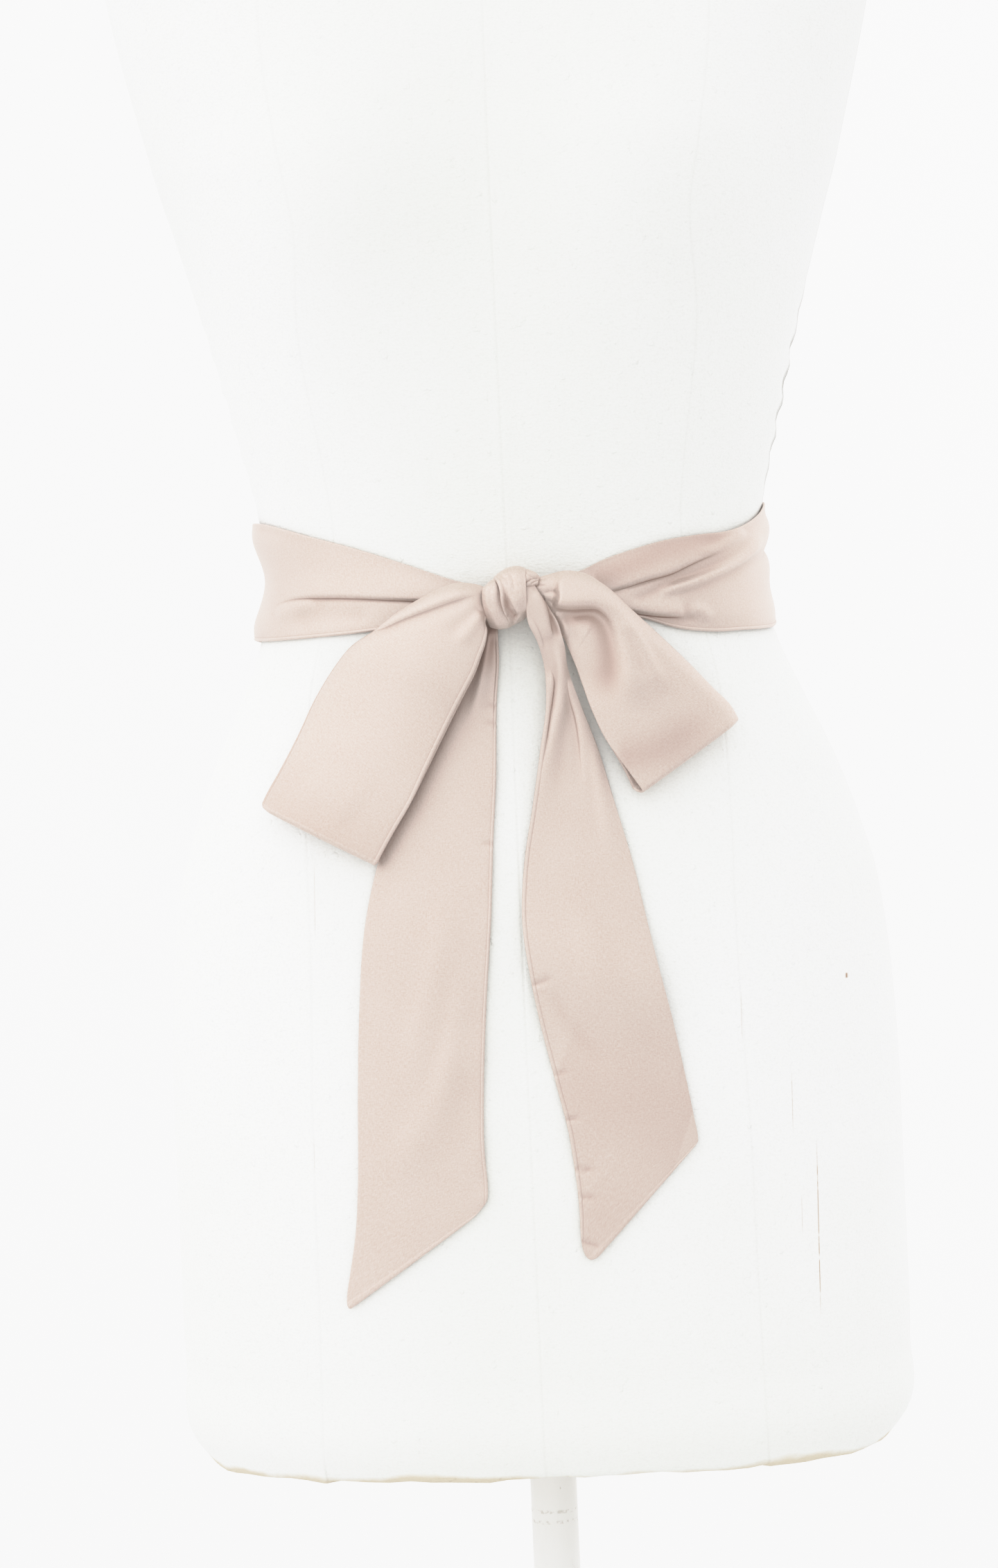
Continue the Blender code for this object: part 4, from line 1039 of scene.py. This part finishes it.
LOOP_STEPS, LOOP_BACK_STEPS, LOOP_TURN_STEPS, LOOP_COLUMNS = 220, 70, 12, 80
LOOP_UV_COLUMN = 30
FOLD_WIDENING_MM = 0.6
BACK_LAYER_SHADE = 0.18
TUCK_IN = 1.6 * MM
ROLL_WIDTH = 6 * MM
LOOP_HEM_FULL = 20 * MM


def strip_frame(rows, steps):
    """A strip's table as smooth columns of numbers at shares of its length, and the length."""
    table = np.array(rows, float) * MM
    run = run_along((table[:, 0:2] + table[:, 2:4]) / 2)
    return smooth(run / run[-1], table, steps).T[:, :, None], run[-1]


def strip_surface(rows, creases, steps, across, roll=0.0):
    """Middle surface of a strip in front of the form, between its edges A and B.

    The lift off the form goes from edge A's to edge B's, with a crown in the middle and
    the creases on top, and the outermost strip of edge A curls back by roll.
    """
    (ax, az, bx, bz, lift_a, lift_b, crown), length = strip_frame(rows, steps)
    x, z = ax + (bx - ax) * across, KNOT_Z + az + (bz - az) * across
    width = np.hypot(bx - ax, bz - az)
    rise, marks = crease_lift(x, z, creases)
    lift = lift_a + (lift_b - lift_a) * across + crown * 4 * across * (1 - across) + rise
    # Painted shade in the strip's hollows and along its shade bands
    marks["painted_shade"] = np.clip(marks["painted_shade"] + hollows(lift) * HOLLOW_SHADE, 0, 0.55)
    lift = lift - roll * np.clip(1 - across * width / ROLL_WIDTH, 0, 1) ** 2.2
    return np.stack([x, form_front(x, z) - lift, z], axis=-1), width, length, marks


def loop_piece(name, node, rows, creases, shape, roll, hem):
    """A loop: out along its front layer, round the fold in half a circle, and back behind.

    The gap between the layers goes from the throat's to the belly's to the fold's, and
    the back layer is shifted and tucked in. hem is the seam's distance from edge B in
    millimetres, or 0 where it's turned to the back.
    """
    across = spaced(LOOP_COLUMNS, EDGE_ROUND)[None, :]

    # The front layer, its rows closer together at the throat
    steps = np.linspace(0.08, 1, LOOP_STEPS) ** 1.35
    steps = 0.006 + 0.994 * (steps - steps[0]) / (1 - steps[0])
    steps = np.concatenate([[0, 0.0005, 0.002, 0.004], steps])
    front, width, _, front_marks = strip_surface(rows, creases, steps, across, roll)

    # The back layer, with a lower crown
    back = np.linspace(0, 1, LOOP_BACK_STEPS)
    crowned, back_width, _, _ = strip_surface(rows, [], back, across)
    plain, _, _, _ = strip_surface([row._replace(crown=0) for row in rows], [], back, across)
    behind = 0.4 * crowned + 0.6 * plain
    gaps = [shape.throat_gap, shape.belly_gap, shape.fold_gap + FOLD_WIDENING_MM, shape.fold_gap]
    gap = smooth([0.0, 0.45, 0.85, 1.0], np.array(gaps)[:, None], back) * MM
    gap = gap * (1 - 0.68 * (1 - back[:, None] ** 6) * across**2)
    shift = np.array([shape.shift_x, 0, shape.shift_z]) * MM
    behind += shift * (back**shape.shift_power)[:, None, None]
    behind[:, :, 0] += TUCK_IN * (4 * back * (1 - back))[:, None] * across**4
    behind[:, :, 1] += gap

    # The fold that joins them
    onward = front[-1] - front[-2]
    onward[:, 1] = 0
    onward /= np.linalg.norm(onward, axis=1, keepdims=True)
    radius = (behind[-1, :, 1] - front[-1, :, 1])[None, :, None] / 2
    angle = np.linspace(0, math.pi, LOOP_TURN_STEPS + 2)[1:-1][:, None, None]
    bend = front[-1] + onward * radius * np.sin(angle) + shift * (1 - np.cos(angle)) / 2
    bend[:, :, 1] += (radius * (1 - np.cos(angle)))[:, :, 0]
    middle = np.concatenate([front, bend, behind[::-1]])

    # Its thickness, and the marks for the material
    width = np.concatenate([width, np.full((LOOP_TURN_STEPS, 1), width[-1, 0]), back_width[::-1]])
    from_hem = (1 - across) * width
    full = np.clip(width / LOOP_HEM_FULL, 0, 1)
    row = np.arange(len(middle))
    ends = np.clip(np.minimum(row, row[::-1]) / 4, 0, 1)[:, None]
    half = HALF_WALL + (hem_relief(from_hem, hem * MM) * full if hem else 0)
    half = half * rounded(across, EDGE_ROUND) * np.sqrt(1 - (1 - ends) ** 2)
    marks = {label: np.zeros(middle.shape[:2]) for label in front_marks}
    for label, values in front_marks.items():
        marks[label][: len(values)] = values
    # Painted shade: the whole back layer is darkened, as it lies in the front layer's shade
    marks["painted_shade"][len(front) + LOOP_TURN_STEPS :] = BACK_LAYER_SHADE
    marks["seam"] = np.where((full < 1) | (hem == 0), NO_SEAM, hem - from_hem / MM)
    marks["seam"][len(front) :] = NO_SEAM
    run = run_along(middle[:, LOOP_UV_COLUMN])[:, None]
    uv = np.stack([across * STRIP_WIDTH + 0 * run, run + 0 * across], -1)
    piece = cloth_wall(name, middle, half, uv, marks)
    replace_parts(piece, node)


loop_piece(
    "bow_loop_left", "loop_left", LEFT_LOOP, LEFT_LOOP_CREASES, LEFT_LOOP_SHAPE,
    roll=2.2 * MM, hem=1.9
)
loop_piece(
    "bow_loop_right", "loop_right", RIGHT_LOOP, RIGHT_LOOP_CREASES, RIGHT_LOOP_SHAPE,
    roll=2.6 * MM, hem=0
)

# Sash: the two hanging ends
# The strip's ends leave the knot gathered, open out to their full width and lie on the
# form's front. Each is cut on the slant, turned in and pressed, with the side seam along
# one edge.

LEFT_TAIL = [
    Row(-9.8, -9, -5, -9.4, 3.4, 3.6, 0.3),
    Row(-16, -20, -5.2, -17, 3.6, 4.2, 0.6),
    Row(-24, -34, -5.2, -27, 2.8, 3.2, 0.8),
    Row(-37, -56, -7.1, -47, 2, 2.2, 0.5),
    Row(-52, -84, -8.7, -81, 1.8, 1.8, 0.4),
    Row(-62, -112, -11, -108, 1.8, 1.8, 0.4),
    Row(-70, -143, -13.4, -143, 1.8, 1.8, 0.5),
    Row(-74.4, -183, -17.4, -184, 1.8, 1.8, 0.6),
    Row(-76.6, -220, -19.9, -219, 1.8, 1.8, 0.5),
    Row(-78.4, -260, -20.7, -246, 1.8, 1.8, 0.4),
    Row(-80.4, -281, -20, -261, 1.8, 1.8, 0.3),
    Row(-87.4, -317, -21, -271, 1.8, 1.8, 0.2),
]
LEFT_TAIL_CREASES = [
    Tint(0.26, 3, 6, 0.02, 0.7, [(-9, -12), (-12, -22), (-17, -34), (-24, -46), (-34, -64), (-44, -82),
          (-55, -102)]),
    Tint(0.42, 3.4, 5, 0, 0.5, [(-7, -11), (-9.5, -24), (-13, -38)]),
    Ridge(1, 1.6, 4, 0.1, 0.4, [(-8.5, -12), (-12, -30), (-20, -60)]),
    Ridge(-0.8, 1.6, 5, 0.1, 0.4, [(-6.8, -16), (-8, -34), (-12, -60)]),
    Ridge(-0.7, 1, 2.2, 0, 0.6, [(-6, -48.6), (-13, -47)]),
    Ridge(-0.7, 1, 2.2, 0, 0.6, [(-6.6, -56.4), (-14, -55)]),
    Ridge(-0.6, 1, 2.2, 0, 0.6, [(-10.5, -110), (-18, -109)]),
    Ridge(1, 7, 9, 0.4, 0.4, [(-30, -120), (-40, -170), (-58, -230)]),
    Ridge(0.7, 5, 7, 0.4, 0.4, [(-24, -150), (-34, -200), (-44, -260)]),
    Ridge(1, 8, 10, 0.3, 0.3, [(-62, -262), (-44, -226), (-20, -186)]),
]
RIGHT_TAIL = [
    Row(8.4, 6, 11.6, 5.6, 14.6, 14.2, 0),
    Row(8.5, 2.4, 13.6, 1.6, 17.4, 16.2, 0.3),
    Row(8.3, -3, 17, -4, 18, 16.2, 0.6),
    Row(8.6, -11, 21.4, -11, 16.2, 14.6, 1),
    Row(12.4, -20, 24, -21, 12.8, 12, 1.2),
    Row(15, -31, 25, -32, 9.2, 8.4, 1.2),
    Row(15, -49, 30, -48, 6, 4.6, 0.5),
    Row(11.4, -70, 37.2, -69, 4.2, 2.2, 0),
    Row(7, -94, 43.8, -94, 3.2, 1.8, 0),
    Row(2.3, -119, 50.5, -120, 2.6, 1.8, 0.2),
    Row(0.4, -145, 55.7, -146, 2.2, 1.8, 0.4),
    Row(2.6, -167, 59.8, -166, 1.8, 1.8, 0.6),
    Row(6.4, -190, 64.6, -188, 1.8, 1.8, 0.6),
    Row(12.4, -218, 69.2, -213, 1.8, 1.8, 0.5),
    Row(17.8, -246, 73, -236, 1.8, 1.8, 0.4),
    Row(20.2, -277, 74, -242, 1.8, 1.8, 0.3),
    Row(18.6, -304, 74.2, -246, 1.8, 1.8, 0.2),
]
RIGHT_TAIL_CREASES = [
    Lap(1.5, 0.6, 0.6, 5, 0.15, 0.2, [(19.4, -19), (18.5, -15.2), (17.9, -10.7), (16.8, -5), (14.8, -0.5),
          (12.4, 3.4)]),
    Tint(0.35, 0.9, 1.4, 0.2, 0.3, [(17.8, -5), (19.2, -10), (20.4, -14), (22, -20)]),
    Ridge(-1, 1.3, 1.8, 0.2, 0.4, [(18.4, -7), (19.6, -11), (20.8, -15), (22.4, -21)]),
    Ridge(0.8, 1.2, 1.8, 0.2, 0.3, [(19, -6.4), (21.6, -11.6), (23.6, -17.4), (24.4, -24)]),
    Lap(0.7, 0.6, 0.8, 3, 0.2, 0.4, [(15.2, -24), (13.4, -16.4), (11.6, -12.2), (9.8, -8.8)]),
    Ridge(2.6, 2.4, 8, 0.2, 0.5, [(20.5, -16), (22, -26), (22.6, -36), (21.6, -46.8), (18.5, -58.4),
          (13, -80), (9, -105)]),
    Lap(1.6, 0.5, 0.6, 5, 0.4, 0.2, [(11.5, -78), (13.2, -69.8), (15.6, -56.2), (17.8, -44.5),
          (18.6, -37), (17.1, -31)]),
    Lap(1.6, 0.8, 1.6, 9, 0.1, 0.5, [(24.2, -36), (25.9, -46.7), (27.9, -54.7), (29.1, -64.2),
          (29.6, -78), (30, -92)]),
    Ridge(1, 2.5, 6, 0.3, 0.4, [(34, -62), (38, -90), (44, -125)]),
    Ridge(0.9, 7, 9, 0.4, 0.4, [(20, -130), (36, -175), (58, -225)]),
    Ridge(3, 20, 20, 0, 0, [(-8, -160), (76, -182)]),
    Tint(0.12, 26, 26, 0, 0, [(12, -216), (70, -238)]),
    Tint(0.08, 18, 18, 0, 0.2, [(20, -270), (40, -290)]),
    Ridge(-0.9, 0.9, 2.4, 0, 0.6, [(3, -173), (15, -169)]),
    Ridge(-0.6, 0.9, 2, 0, 0.6, [(11, -213), (19, -211)]),
    Ridge(-0.8, 0.8, 1.8, 0, 0.6, [(15, -233), (24, -232)]),
    Ridge(-0.9, 0.9, 1.8, 0, 0.6, [(18.6, -255), (30, -256)]),
    Ridge(-0.8, 0.8, 1.8, 0, 0.6, [(19.4, -267), (30, -268.5)]),
    Ridge(-0.8, 0.9, 1.8, 0, 0.6, [(20, -287), (31, -291)]),
    Ridge(-0.7, 4, 6, 0.3, 0.4, [(8, -165), (22, -195), (40, -215)]),
]
TAIL_STEPS, TAIL_COLUMNS = 250, 62
TAIL_END_ROUND = 0.004
TAIL_END_WIDTH_MM = 70
TAIL_HEM, TAIL_HEM_FULL = 2.8 * MM, 24 * MM
PUCKER_RISE, PUCKER_REACH, PUCKER_START = 0.28 * MM, 5 * MM, 30 * MM


def tail_piece(name, node, rows, creases, seam_on_b, hem, pucker_from, tips):
    """A hanging end, from the knot down to its slanted hem.

    The hem and the seam are rolls with a groove inside them, and short puckers run in
    from the seam, as waves along the edge that die out within 7 mm. tips holds how tall
    and how wide the rounding of the end's corners A and B is, in millimetres, as hem is.
    """
    even = spaced(TAIL_COLUMNS, EDGE_ROUND)[None, :]
    steps = spaced(TAIL_STEPS, TAIL_END_ROUND)
    _, length = strip_frame(rows, steps)
    run = steps[:, None] * length
    from_hem = (1 - steps)[:, None] * length
    inset_a, inset_b = (
        (1 - np.sqrt(1 - np.clip(1 - from_hem / (tall * MM), 0, 1) ** 2)) * wide / TAIL_END_WIDTH_MM
        for tall, wide in tips
    )
    across = inset_a + (1 - inset_a - inset_b) * even
    middle, width, _, marks = strip_surface(rows, creases, steps, across)
    from_seam = (1 - across if seam_on_b else across) * width
    start = np.clip((run - pucker_from * MM) / PUCKER_START, 0, 1)
    beat = np.sin(run / (5.2 * MM) + 1.7 * np.sin(run / (23 * MM))) * (0.6 + 0.4 * np.sin(run / (31 * MM)))
    middle[:, :, 1] -= PUCKER_RISE * start * beat * bell(from_seam / PUCKER_REACH)
    full = np.clip(width / TAIL_HEM_FULL, 0, 1)
    half = HALF_WALL + hem_relief(from_seam, hem * MM) * full + 0.6 * hem_relief(from_hem, TAIL_HEM)
    half = half * rounded(even, EDGE_ROUND) * rounded(steps, TAIL_END_ROUND)[:, None]
    marks["seam"] = np.where(full < 1, NO_SEAM, hem - from_seam / MM)
    uv = np.stack([across * STRIP_WIDTH + 0 * run, run + 0 * across], -1)
    piece = cloth_wall(name, middle, half, uv, marks)
    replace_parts(piece, node)


tail_piece(
    "sash_end_left", "tail_left", LEFT_TAIL, LEFT_TAIL_CREASES,
    seam_on_b=True, hem=1.5, pucker_from=30, tips=[(7, 4), (11, 9)],
)
tail_piece(
    "sash_end_right", "tail_right", RIGHT_TAIL, RIGHT_TAIL_CREASES,
    seam_on_b=False, hem=1.8, pucker_from=140, tips=[(14, 13), (4, 2)],
)
